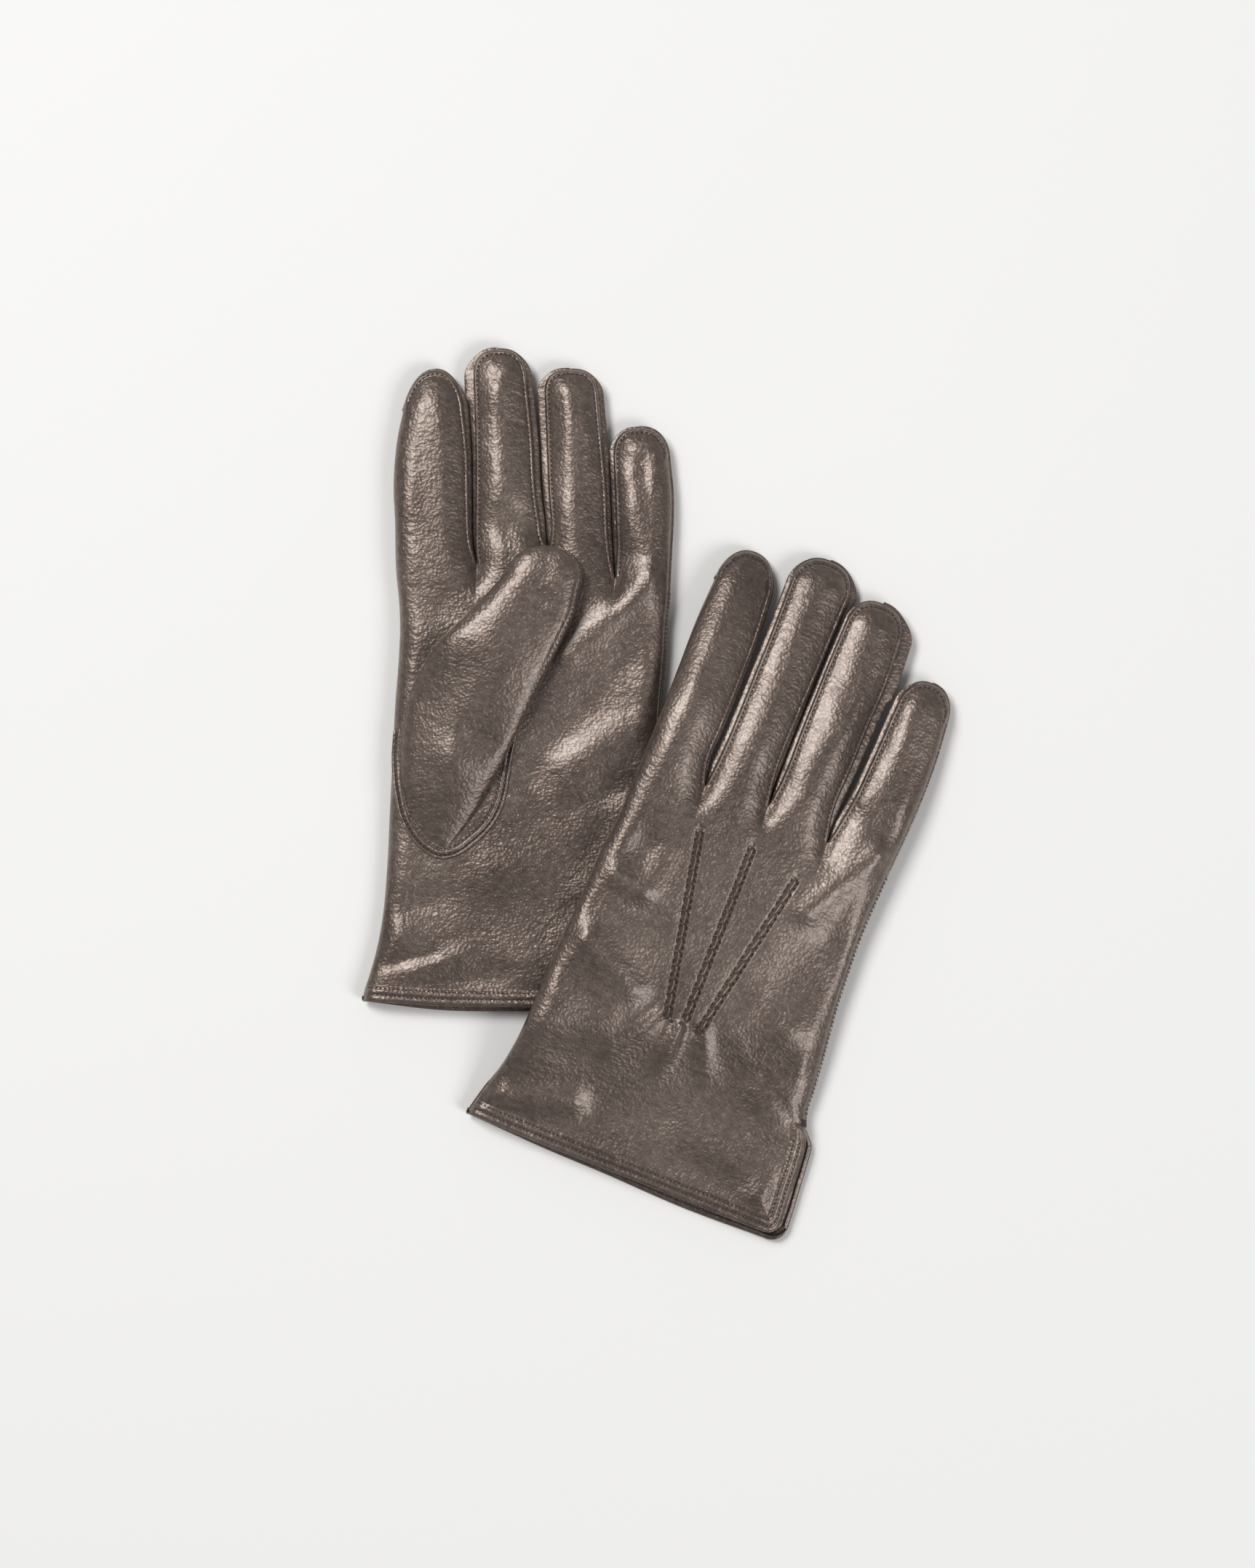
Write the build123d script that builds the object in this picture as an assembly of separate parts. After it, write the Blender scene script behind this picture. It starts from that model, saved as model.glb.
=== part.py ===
from build123d import *
import math
import os

# A pair of lined leather dress gloves laid flat: the left glove palm up, the right glove palm down and
# overlapping it, with its index side resting on the left cuff. Each glove is drawn in a frame of its own:
# u runs across the hand from the index side to the little side, v from the cuff to the fingertips, and
# w up from the side that lies underneath. All sizes are millimetres.

# --- driving dimensions -------------------------------------------------------------------------------
LEATHER = 1.0            # wall of the outer glove
LINING = 0.8             # wall of the knitted lining
CLEAR = 0.2              # air between two soft layers
CUFF_THICK = 8.6         # outside thickness of a glove at the cuff
KNUCKLE_THICK = 12.0     # and at the finger roots
HAND_END = 152.0         # v where the hand divides into four finger roots
FINGER_GAP = 1.0         # plan gap between neighbouring fingers
FOLD_NEAR = 0.4          # from a fold axis back to the part that stays
FOLD_FAR = 6.6           # from a fold axis on to the part that moves
HEM_START, HEM_END = -3.0, 3.0
HEM_PROUD = 0.4          # how far the rolled hem stands out from the glove
VENT_LENGTH = 37.0       # side slit, from the cuff edge up
VENT_SLIT, VENT_CUT = 1.6, 4.0
POINT_WIDTH, POINT_HEIGHT = 1.7, 0.9
WELT_WIDTH, WELT_HEIGHT = 2.6, 0.7
FOURCHETTE_DEPTH = 2.4   # how far the side strip reaches in from the finger's side
FOURCHETTE_HEIGHT = 0.56 # share of the finger's thickness
SEAM_BITE = 0.7          # outseam piping, out from the little side
CUT_MARGIN = 20.0

# Hand outline as (v, u at the index side, u at the little side).
HAND = {
    "left": [(-3, -63.8, 46.5), (15, -59.3, 42.5), (40, -56.1, 39.2), (75, -54.3, 42.8), (107, -52.8, 45.2),
             (130, -51.4, 47), (HAND_END, -51.6, 48.6)],
    "right": [(-3, -64.5, 56), (15, -61.5, 54), (40, -59.5, 50.5), (65, -58.5, 47.5), (100, -56.5, 45.2),
              (120, -55, 44.8), (HAND_END, -54.3, 47.3)],
}

# Fingers as name: (fold v, root centre u, root half width, centre u and half width 15 before the tip, tip v).
FINGERS = {
    "left": {
        "index": (173, -37.8, 14.2, -38.4, 11.4, 229.1),
        "middle": (173, -9.7, 12.1, -14.2, 11.8, 236.6),
        "ring": (173, 16.7, 11.9, 12.1, 11.7, 229.1),
        "little": (164, 39.3, 9.6, 38.0, 10.3, 207.6),
    },
    "right": {
        "index": (173, -42.1, 11.3, -41.2, 11.2, 229.5),
        "middle": (173, -16.7, 11.6, -13.0, 11.8, 236.5),
        "ring": (173, 9.4, 12.0, 11.8, 11.6, 228.5),
        "little": (164, 35.3, 11.5, 36.5, 10.4, 207.5),
    },
}
DROOP = {"index": 8.4, "middle": 5.8, "ring": 4.2, "little": 3.2}   # degrees, right glove only

# Thumb: where it leaves the palm, its heading and its root's heading clockwise from +v, and its sizes.
THUMB = {
    "left": dict(fold=(-27.3, 101.6), heading=28.4, half=20.5, tip_half=14.4, length=71.0, thick=10.4, root=52.0,
                 root_heading=8.2),
    "right": dict(fold=(-22.0, 98.0), heading=21.0, half=12.6, tip_half=11.5, length=66.0, thick=5.6, root=46.0,
                  root_heading=14.0),
}
THUMB_REST = {"left": 12.5, "right": -0.4}    # w of the side that faces the palm
FOLD_RANGE = {"left": 78.0, "right": 45.0}
THUMB_RANGE = {"left": 70.0, "right": 35.0}

# The three raised points on the back: (u, v) at the wrist end, then at the knuckle end.
POINTS = [((-13.0, 57.0), (-25.0, 127.0)), ((-5.5, 58.0), (-5.5, 128.0)), ((1.5, 57.0), (14.5, 122.0))]

# Placing: where each glove's own origin stands, its heading, and its lean towards the little side.
PLACE = {"left": ((-43.5, -75.0, 0.0), 0.0, 0.0), "right": ((-7.3, -141.3, 7.6), -21.0, 6.5)}
CENTRE_SHIFT = (0.08, 1.33)    # brings the pair's bounding box centre onto the origin


def placing(side):
    """The glove's own frame, in the frame of the pair."""
    origin, heading, lean = PLACE[side]
    at = Location((origin[0] + CENTRE_SHIFT[0], origin[1] + CENTRE_SHIFT[1], origin[2]))
    return at * Location((0, 0, 0), (0, 0, heading)) * Location((0, 0, 0), (0, lean, 0))


def hand_thickness(v):
    """Outside thickness of the hand part at v: thin at the cuff, full at the knuckles."""
    return CUFF_THICK + (KNUCKLE_THICK - CUFF_THICK) * max(0.0, min(1.0, v / HAND_END))


def station(v, u0, u1, w0, w1, heading=None):
    """A rounded slot, seen along the glove, from u0 to u1 and from w0 to w1."""
    plane = Plane(origin=((u0 + u1) / 2, v, (w0 + w1) / 2), x_dir=(1, 0, 0), z_dir=(0, 1, 0))
    height = w1 - w0
    return plane * RectangleRounded(u1 - u0, height, height * 0.47)


def moved(row, other, v):
    """A row of the hand outline slid to v, along the line to the row beside it."""
    share = (v - row[0]) / (other[0] - row[0])
    return v, row[1] + (other[1] - row[1]) * share, row[2] + (other[2] - row[2]) * share


def hand_loft(side, inset, start=None, end=None, grow=0.0):
    """The hand as a solid, inset all round. start and end move the first and last station."""
    rows = list(HAND[side])
    if start is not None:
        rows[0] = moved(rows[0], rows[1], start)
    if end is not None:
        rows[-1] = moved(rows[-1], rows[-2], end)
    base = -0.5 if side == "left" else 0.0
    low = inset - grow if (inset or side == "right") else base - grow
    sections = []
    for v, u0, u1 in rows:
        high = CUFF_THICK + (KNUCKLE_THICK - CUFF_THICK) * v / HAND_END
        sections.append(station(v, u0 + inset - grow, u1 - inset + grow, low, high - inset + grow))
    return loft(sections, ruled=True)


def finger_loft(side, name, inset, start, keep_tip=True, end=None):
    """A finger as a solid from v = start to its tip, or to end."""
    fold, root_u, root_half, tip_u, tip_half, tip_v = FINGERS[side][name]
    low = inset if (inset or side == "right") else -0.5
    high = KNUCKLE_THICK - inset
    knee = tip_v - 15.0

    def at(v):
        share = (v - HAND_END) / (knee - HAND_END)
        return root_u + (tip_u - root_u) * share, root_half + (tip_half - root_half) * share

    def cut(v, width_share=1.0, height_share=1.0):
        centre, half = at(v)
        half = half * width_share - inset
        middle, rise = (low + high) / 2, (high - low) / 2 * height_share
        return station(v, centre - half, centre + half, middle - rise, middle + rise)

    if not keep_tip:
        return loft([cut(start), cut(end)], ruled=True)
    return loft([cut(start), cut(knee), cut(tip_v - 8.0 - inset, 0.93, 0.95), cut(tip_v - 3.4 - inset, 0.75, 0.78),
                 cut(tip_v - 1.0 - inset, 0.56, 0.58), cut(tip_v - inset, 0.40, 0.36)], ruled=True)


def slab(u0, u1, v0, v1, w0, w1):
    """A box between six limits."""
    size = (u1 - u0, v1 - v0, w1 - w0)
    return Pos((u0 + u1) / 2, (v0 + v1) / 2, (w0 + w1) / 2) * Box(*size)


def strip(points, width):
    """A straight bar in plan along two points, tall enough to cut through the glove."""
    (u0, v0), (u1, v1) = points
    length = math.hypot(u1 - u0, v1 - v0)
    turn = math.degrees(math.atan2(v1 - v0, u1 - u0))
    return Location(((u0 + u1) / 2, (v0 + v1) / 2, 0), (0, 0, turn)) * Box(length, width, 3 * KNUCKLE_THICK)


def grounded(side, shape):
    """Cuts the left glove's pieces flat where they lie on the table."""
    return shape - slab(-90, 90, -30, 260, -5, 0) if side == "left" else shape


def fold_axis(side, name):
    """A point on a finger's fold axis, in the glove's frame."""
    fold, root_u = FINGERS[side][name][:2]
    return (root_u, fold, KNUCKLE_THICK / 2)


def drooped(side, name, shape):
    """Lets a right-hand finger slope down to the table from its fold."""
    if side == "left":
        return shape
    u, v, w = fold_axis(side, name)
    return Location((u, v, w)) * Location((0, 0, 0), (-DROOP[name], 0, 0)) * Location((-u, -v, -w)) * shape


# --- the hand -----------------------------------------------------------------------------------------
def vent_box(side, height, start, end):
    """The side slit's box: round the little side of the cuff, in the middle of its thickness."""
    u1 = HAND[side][0][2]
    middle = hand_thickness(VENT_LENGTH / 2) / 2
    return slab(u1 - CUT_MARGIN, u1 + CUT_MARGIN, start, end, middle - height / 2, middle + height / 2)


def finger_roots(side, inset, extra):
    """The four short tubes at the knuckle end, which stay with the hand."""
    made = []
    for name, row in FINGERS[side].items():
        made.append(finger_loft(side, name, inset, HAND_END - 4.0, False, row[0] - FOLD_NEAR + extra))
    return made


def thumb_frame(side, heading="heading"):
    """A frame at the thumb's fold: its Y runs along the thumb and its X across it."""
    u, v = THUMB[side]["fold"]
    return Location((u, v, 0)) * Location((0, 0, 0), (0, 0, -THUMB[side][heading]))


def thumb_hole(side, inset):
    """The opening in the palm under the thumb's root, as a tall oval bar."""
    row = THUMB[side]
    oval = Ellipse(row["half"] - 3.5 - inset, row["root"] / 2 - 5.0 - inset)
    centre = Pos(0, -row["root"] / 2, hand_thickness(75))
    return thumb_frame(side, "root_heading") * centre * extrude(oval, 5, both=True)


def hand_parts(side):
    """The trank's hand, the lining inside it and the quirks between the finger roots."""
    outer = hand_loft(side, 0.0, start=HEM_END)
    inner = hand_loft(side, LEATHER, start=HEM_END - 1, end=HAND_END - LEATHER)
    for root in finger_roots(side, 0.0, 0.0):
        outer = outer + root
    for root in finger_roots(side, LEATHER, 1.0):
        inner = inner + root
    trank = grounded(side, outer) - inner
    lining = hand_loft(side, LEATHER + CLEAR, start=HEM_END + CLEAR, end=HAND_END - LEATHER - CLEAR)
    for root in finger_roots(side, LEATHER + CLEAR, 0.0):
        lining = lining + root
    hollow = hand_loft(side, LEATHER + CLEAR + LINING, start=HEM_END - 1, end=HAND_END - LEATHER - CLEAR - LINING)
    for root in finger_roots(side, LEATHER + CLEAR + LINING, 1.0):
        hollow = hollow + root
    lining = lining - hollow
    if side == "left":
        trank = trank - thumb_hole(side, 0.0)
        lining = lining - thumb_hole(side, 0.0)
    trank = trank - vent_box(side, VENT_CUT, HEM_END - 1, VENT_LENGTH)
    lining = lining - vent_box(side, VENT_CUT + 2 * CLEAR, HEM_END - 1, VENT_LENGTH + CLEAR)

    quirk_zone = None
    names = list(FINGERS[side])
    for first, second in zip(names, names[1:]):
        a, b = FINGERS[side][first], FINGERS[side][second]
        crotch = (a[1] + a[2] + b[1] - b[2]) / 2
        block = Pos(crotch, HAND_END - 0.5, KNUCKLE_THICK / 2) * Rotation(0, 45, 0) * Box(5.0, 2.6, 5.0)
        quirk_zone = block if quirk_zone is None else quirk_zone + block
    quirks = trank & quirk_zone
    return trank - quirks, lining, quirks


def cuff_parts(side):
    """The rolled hem round the cuff, the binding of the side slit and the bar tack at the slit's top."""
    hem = hand_loft(side, 0.0, start=HEM_START, grow=HEM_PROUD) - hand_loft(side, LEATHER + LINING, start=-10)
    hem = grounded(side, hem & slab(-90, 90, HEM_START, HEM_END, -5, 30))
    hem = hem - vent_box(side, VENT_CUT, -10, HEM_END + 1)

    wall = hand_loft(side, 0.0, start=HEM_START, grow=0.2) - hand_loft(side, LEATHER + CLEAR, start=-10)
    frame = vent_box(side, VENT_CUT, HEM_START, VENT_LENGTH) - vent_box(side, VENT_SLIT, -10, VENT_LENGTH - 1.6)
    binding = wall & frame

    skin = hand_loft(side, 0.0, start=HEM_START, grow=0.9) - hand_loft(side, 0.0, start=-10)
    tack = skin & vent_box(side, VENT_CUT, VENT_LENGTH + 0.4, VENT_LENGTH + 3.4)
    return hem, binding, tack


def points_on_back(side, trank):
    """Three stitched ridges on the back. The left glove lies on them, so they are pressed flush there."""
    ridges = None
    if side == "left":
        sheet = slab(-60, 60, 50, 135, 0, POINT_HEIGHT - 0.2)
    else:
        sheet = hand_loft(side, 0.0, grow=POINT_HEIGHT) - hand_loft(side, 0.0, start=-10)
        sheet = sheet & slab(-60, 60, 50, 135, hand_thickness(75) / 2, 30)
    for line in POINTS:
        ridge = sheet & strip(line, POINT_WIDTH)
        ridges = ridge if ridges is None else ridges + ridge
    return ridges, (trank - ridges if side == "left" else trank)


def outseam(side):
    """The sewn edge down the little side, from the last finger's root to the slit."""
    skin = hand_loft(side, 0.0, grow=SEAM_BITE) - hand_loft(side, 0.0, start=-10)
    low = HAND[side][0][2] - CUT_MARGIN
    zone = None
    start = VENT_LENGTH + 5.0
    rows = [r for r in HAND[side] if r[0] > start + 5.0]
    rows[-1] = moved(rows[-1], rows[-2], HAND_END - 5.0)
    for v, u0, u1 in rows:
        middle = hand_thickness((start + v) / 2) / 2
        block = slab(low, low + 3 * CUT_MARGIN, start, v - 1.0, middle - 0.9, middle + 0.9)
        zone = block if zone is None else zone + block
        start = v - 1.0
    return skin & zone


# --- the fingers and the thumb ------------------------------------------------------------------------
def side_zone(side, name, sign, wall):
    """The zone of one side strip of a finger, on its index side (-1) or its little side (+1)."""
    fold, root_u, root_half, tip_u, tip_half, tip_v = FINGERS[side][name]
    rise = KNUCKLE_THICK * FOURCHETTE_HEIGHT / 2
    middle = KNUCKLE_THICK / 2
    lean = math.degrees(math.atan2(tip_u - root_u + sign * (tip_half - root_half), tip_v - 15 - HAND_END))
    edge = root_u + sign * root_half
    bar = Pos(sign * (10 - FOURCHETTE_DEPTH), (tip_v - 9 - HAND_END) / 2, 0) * Box(20, tip_v - 9 - HAND_END, 2 * rise)
    return Location((edge, HAND_END, middle)) * Location((0, 0, 0), (0, 0, -lean)) * bar


def finger_parts(side, name):
    """A finger beyond its fold: the stall of two leather faces, its side strips and its lining."""
    start = FINGERS[side][name][0] + FOLD_FAR
    open_end = start - 1.0
    outer = grounded(side, finger_loft(side, name, 0.0, start))
    shell = outer - finger_loft(side, name, LEATHER, open_end)
    sides = {"index": [1], "middle": [-1, 1], "ring": [-1, 1], "little": [-1]}[name]
    strips = {}
    for sign in sides:
        where = "index_side" if sign < 0 else "little_side"
        zone = side_zone(side, name, sign, LEATHER)
        strips[where] = shell & zone
        shell = shell - zone
    lining = finger_loft(side, name, LEATHER + CLEAR, start)
    lining = lining - finger_loft(side, name, LEATHER + CLEAR + LINING, open_end)
    parts = {f"{side}_{name}_stall": shell, f"{side}_{name}_lining": lining}
    for where, piece in strips.items():
        parts[f"{side}_{name}_fourchette_{where}"] = piece
    return {node: drooped(side, name, piece) for node, piece in parts.items()}


def thumb_loft(side, inset, start):
    """The free thumb beyond its fold, in the thumb's frame."""
    row = THUMB[side]
    rest, thick = THUMB_REST[side], row["thick"]
    low, high = (rest, rest + thick) if side == "left" else (rest - thick, rest)
    middle, rise = (low + high) / 2, thick / 2 - inset

    def cut(v, half, share=1.0):
        return station(v, -half, half, middle - rise * share, middle + rise * share)

    full, tip, end = row["half"] - inset, row["tip_half"] - inset, row["length"] - inset
    return loft([cut(start, full), cut(end - 14, tip), cut(end - 8, tip * 0.92, 0.95),
                 cut(end - 3.4, tip * 0.75, 0.8), cut(end - 1, tip * 0.57, 0.6), cut(end, tip * 0.42, 0.4)],
                ruled=True)


def thumb_root_loft(side, inset, end):
    """The thumb's root, set into the palm: it rises from the seam's lower end to the fold."""
    row = THUMB[side]
    top = THUMB_REST[side] + row["thick"] - inset
    floor = 5.0 + inset
    half, root = row["half"] - inset, row["root"] - inset

    def cut(v, share, rise):
        high = floor + (top - floor) * rise
        return station(v, -half * share, half * share, floor, high)

    return loft([cut(-root, 0.35, 0.30), cut(-root * 0.85, 0.68, 0.42), cut(-root * 0.5, 0.94, 0.68),
                 cut(end, 1.0, 1.0)], ruled=True)


def thumb_parts(side, trank):
    """The free thumb with its lining, its root and the welt of its seam, let into the palm if it lies below."""
    row = THUMB[side]
    place, root_place = thumb_frame(side), thumb_frame(side, "root_heading")
    far = row["thick"] / 2 + 0.5
    shell = thumb_loft(side, 0.0, far) - thumb_loft(side, LEATHER, far - 1)
    lining = thumb_loft(side, LEATHER + CLEAR, far) - thumb_loft(side, LEATHER + CLEAR + LINING, far - 1)
    parts = {f"{side}_thumb_stall": place * shell, f"{side}_thumb_lining": place * lining}

    beyond = place * slab(-60, 60, -FOLD_NEAR, 90, -60, 60)
    mid = hand_thickness(75) / 2
    if side == "left":
        end = 10.0
        hand = hand_loft(side, 0.0, start=-12, grow=0.08)
        root = thumb_root_loft(side, 0.0, end) - thumb_root_loft(side, LEATHER, end + 1)
        root = root_place * root - hand - beyond
        rim = thumb_root_loft(side, -WELT_WIDTH / 2, end) - thumb_root_loft(side, -0.05, end + 1)
        layer = hand_loft(side, 0.0, start=-10, grow=WELT_HEIGHT) - hand
        welt = (root_place * rim & layer & slab(-60, 60, 30, 130, mid, 40)) - beyond
    else:
        centre = Pos(0, -row["root"] / 2 + 3.0, 0)
        bore = Ellipse(row["half"], row["root"] / 2 + 3.0)
        oval = Ellipse(row["half"] + WELT_WIDTH, row["root"] / 2 + 3.0 + WELT_WIDTH)
        palm = slab(-60, 60, 30, 130, -20, 2.0) - beyond
        inside = root_place * centre * extrude(bore, 60, both=True) & palm
        whole = root_place * centre * extrude(oval, 60, both=True) & palm
        root = trank & inside
        welt = (trank & whole) - inside
        trank = trank - whole
    parts[f"{side}_thumb_root"] = root
    parts[f"{side}_thumb_welt"] = welt
    return parts, trank


def glove(side):
    """Every piece of one glove, in the glove's frame."""
    trank, lining, quirks = hand_parts(side)
    hem, binding, tack = cuff_parts(side)
    points, trank = points_on_back(side, trank)
    thumb, trank = thumb_parts(side, trank)
    parts = {
        f"{side}_trank": trank,
        f"{side}_palm_lining": lining,
        f"{side}_quirks": quirks,
        f"{side}_cuff_hem": hem,
        f"{side}_vent_binding": binding,
        f"{side}_vent_tack": tack,
        f"{side}_points": points,
        f"{side}_outseam": outseam(side),
    }
    parts.update(thumb)
    for name in FINGERS[side]:
        parts.update(finger_parts(side, name))
    return parts


def build():
    """Writes one STEP for each piece, in the frame of the pair."""
    os.makedirs("parts", exist_ok=True)
    made = {}
    for side in ("left", "right"):
        place = placing(side)
        for node, shape in glove(side).items():
            made[node] = place * shape
    for node, shape in made.items():
        export_step(Compound(children=shape.solids()), f"parts/{node}.step")
    return made


MADE = build()
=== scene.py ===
import math

import bpy
import numpy as np
from mathutils import Matrix, Vector


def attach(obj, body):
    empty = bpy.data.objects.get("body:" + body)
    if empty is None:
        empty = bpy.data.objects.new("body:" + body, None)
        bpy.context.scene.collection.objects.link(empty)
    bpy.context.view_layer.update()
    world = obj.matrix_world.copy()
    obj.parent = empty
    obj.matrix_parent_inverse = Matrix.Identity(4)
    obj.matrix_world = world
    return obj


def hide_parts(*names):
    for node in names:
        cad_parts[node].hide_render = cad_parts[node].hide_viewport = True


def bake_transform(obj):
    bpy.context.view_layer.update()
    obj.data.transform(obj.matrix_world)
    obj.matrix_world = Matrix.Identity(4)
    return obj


# A pair of metallic brown leather dress gloves. Each glove is shaped in a frame of its own, in millimetres:
# u across the hand from the index side to the little side, v from the cuff to the fingertips, w up.
# "upper" is the sheet that faces the viewer, "lower" the sheet that lies underneath.

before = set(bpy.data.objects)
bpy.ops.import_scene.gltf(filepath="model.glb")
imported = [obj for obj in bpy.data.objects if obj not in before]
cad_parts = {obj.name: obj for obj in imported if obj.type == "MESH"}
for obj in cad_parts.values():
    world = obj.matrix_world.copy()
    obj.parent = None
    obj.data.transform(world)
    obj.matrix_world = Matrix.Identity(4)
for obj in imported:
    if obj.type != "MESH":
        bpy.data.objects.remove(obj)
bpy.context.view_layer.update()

MM = 0.001
NAMES = ["index", "middle", "ring", "little"]
CUFF_THICK, KNUCKLE_THICK, KNUCKLE_V = 8.6, 12.0, 152.0
STITCH_IN = 1.35           # from a finger seam's edge to its stitches
SEAM_PITCH, HEM_PITCH = 1.75, 1.6
HEM_ROWS = (2.5, 5.0)      # the hem's stitch rows, in from the edge
VENT_TOP = 38.0            # where the side slit ends
SLIT_LAP = 3.2             # how far the lower sheet reaches past the upper one beside the slit
VENT_CORNER = 6.0          # radius of the cuff's corner beside the slit
HEM_WIDTH = HEM_ROWS[1] + 0.3
CUFF_START = -4.0          # v of a glove's first row of points, before it follows the cuff's edge
ROW_PITCH = 0.85           # between the rows of points above the cuff
LOWER_TIP = 0.6            # how much longer the lower sheet's fingertips are
TIP_THINNER = 1.6          # how much thinner a finger is at its tip than at its root
NOTCH_PITCH = 5.1          # between the notches along a point
PRESSED = 0.20             # how much is left of the points that the lower glove lies on
# distances before and past each joint's axis, in metres, given to bend() for the fingers and thumbs; the
# lower glove's numbers reach further past the axis
FINGER_BEND = {"left": (0.004, 0.015), "right": (0.011, 0.011)}
THUMB_BEND = {"left": (0.004, 0.018), "right": (0.006, 0.012)}
# the finish at low, middle and high values of its mottling
LEATHER_SHADES = [(0.34, (0.090, 0.065, 0.056)), (0.50, (0.152, 0.115, 0.099)),
                  (0.67, (0.225, 0.180, 0.154))]
LEATHER_FINISH = {"Metallic": 0.62, "Specular Tint": (1.0, 0.93, 0.80, 1), "Coat Weight": 0.45,
                  "Coat Roughness": 0.27}

# Seams and edges as (v, u). Each finger runs between its own left and right line. crotches, tips, split and
# folds are v; bulge_left and bulge_right say how far the side strips stand out; droop is how steeply a finger
# sinks from its root; split is where the finger leather is parted from the hand's.
LEFT_GLOVE = dict(
    side="left", origin=(-43.42, -73.67, 0.42), heading=0.0, lean=0.0,
    edges=[
        [(-4, -65.0), (0, -64.0), (4, -62.7), (14, -59.8), (24, -57.8), (44, -55.8), (64, -54.8),
         (84, -53.8), (104, -52.8), (124, -51.3), (134, -50.9), (144, -51.3), (154, -52.3),
         (174, -52.8), (184, -53.3), (194, -53.0), (204, -51.9), (215, -49.6)],
        [(0, -31.0), (60, -27.5), (120, -24.0), (157, -22.3)],
        [(0, -8.0), (60, -4.0), (120, 1.5), (161.6, 4.2)],
        [(0, 17.0), (60, 20.0), (120, 26.0), (151.6, 28.7)],
        [(-4, 46.8), (2, 45.6), (15, 42.5), (40, 39.2), (60, 40.4), (75, 42.8), (107, 45.2),
         (124, 46.7), (134, 47.2), (144, 48.2), (154, 48.7), (164, 49.2), (174, 49.7), (184, 49.7),
         (192, 48.9)],
    ],
    right_seams=[
        [(157, -22.3), (164, -24.3), (179, -25.3), (199, -25.8), (214, -27.4)],
        [(161.6, 4.2), (166, 2.2), (174, 0.7), (184, -0.6), (204, -1.8), (221, -3.5)],
        [(151.6, 28.7), (159, 27.2), (189, 25.2), (214, 22.9)], None],
    left_seams=[
        None, [(157, -22.3), (162, -22.7), (183, -22.8), (205, -22.9), (221, -23.4)],
        [(161.6, 4.2), (168, 5.0), (184, 4.2), (214, 3.0)],
        [(151.6, 28.7), (160, 29.3), (175, 29.0), (192, 28.4)]],
    crotches=[157.0, 161.6, 151.6], tips=[229.1, 236.6, 229.1, 207.6],
    bulge_left=[0.0, 3.6, 3.4, 2.4], bulge_right=[2.0, 2.2, 2.2, 0.8],
    tip_length=[15.0, 11.0, 10.0, 11.5], tip_power=[2.3, 2.7, 2.9, 2.5],
    droop=[0, 0, 0, 0], split=148.0, folds=[173, 173, 173, 164],
    hem_upper=[(-66, -3.9), (-36, -5.9), (-6, -6.4), (42, -6.4)],
    hem_lower=[(-66, -4.4), (-36, -7.9), (-6, -8.4), (42, -8.0)],
    # soft swellings and hollows: u, v, reach along u, reach along v, height
    dents=[(-35, 208, 8, 13, 0.9), (-34, 182, 7, 16, 0.5), (-42, 168, 9, 12, -0.6),
           (-15, 220, 7, 7, 1.0), (-15, 227.5, 5, 2.6, -0.6), (-16, 188, 8, 12, 1.0),
           (-9, 172, 8, 7, -1.7), (11, 207, 4, 17, 0.9), (18, 207, 3, 14, 0.6), (10, 176, 7, 10, 0.8),
           (21, 178, 5, 16, -0.7), (33, 177, 6, 9, 1.1), (31, 190, 5, 5, 0.7), (44, 190, 4, 12, 0.6),
           (39, 193, 3, 9, -0.5), (34, 160, 9, 6, -1.0), (-44, 128, 8, 8, 0.6), (-45, 146, 8, 9, -0.5),
           (24, 60, 9, 16, -0.8), (-42, 32, 12, 7, -1.1), (-50, 20, 8, 7, 0.8), (-7, 15, 20, 11, 1.0),
           (-19, 4, 18, 5, -0.5), (26, 36, 12, 12, 0.7), (-12, 44, 15, 8, 0.8), (2, 62, 10, 9, -0.7)],
    # soft ridges and valleys along a line: u, v, u, v, width, height
    folds_over=[(42, 151, 12, 124, 5.5, 1.5), (31, 118, -2, 80, 8.5, -1.4), (38, 98, 10, 83, 7.0, 1.0),
                (-47, 7, -28, 12, 4.5, 0.9), (-61, 8, -38, 13, 2.2, -0.6),
                (-55, 122, -47, 119, 2.5, 0.4), (36, 76, 14, 68, 5.0, -0.8), (40, 40, 12, 30, 4.0, -0.5)],
)
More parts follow.
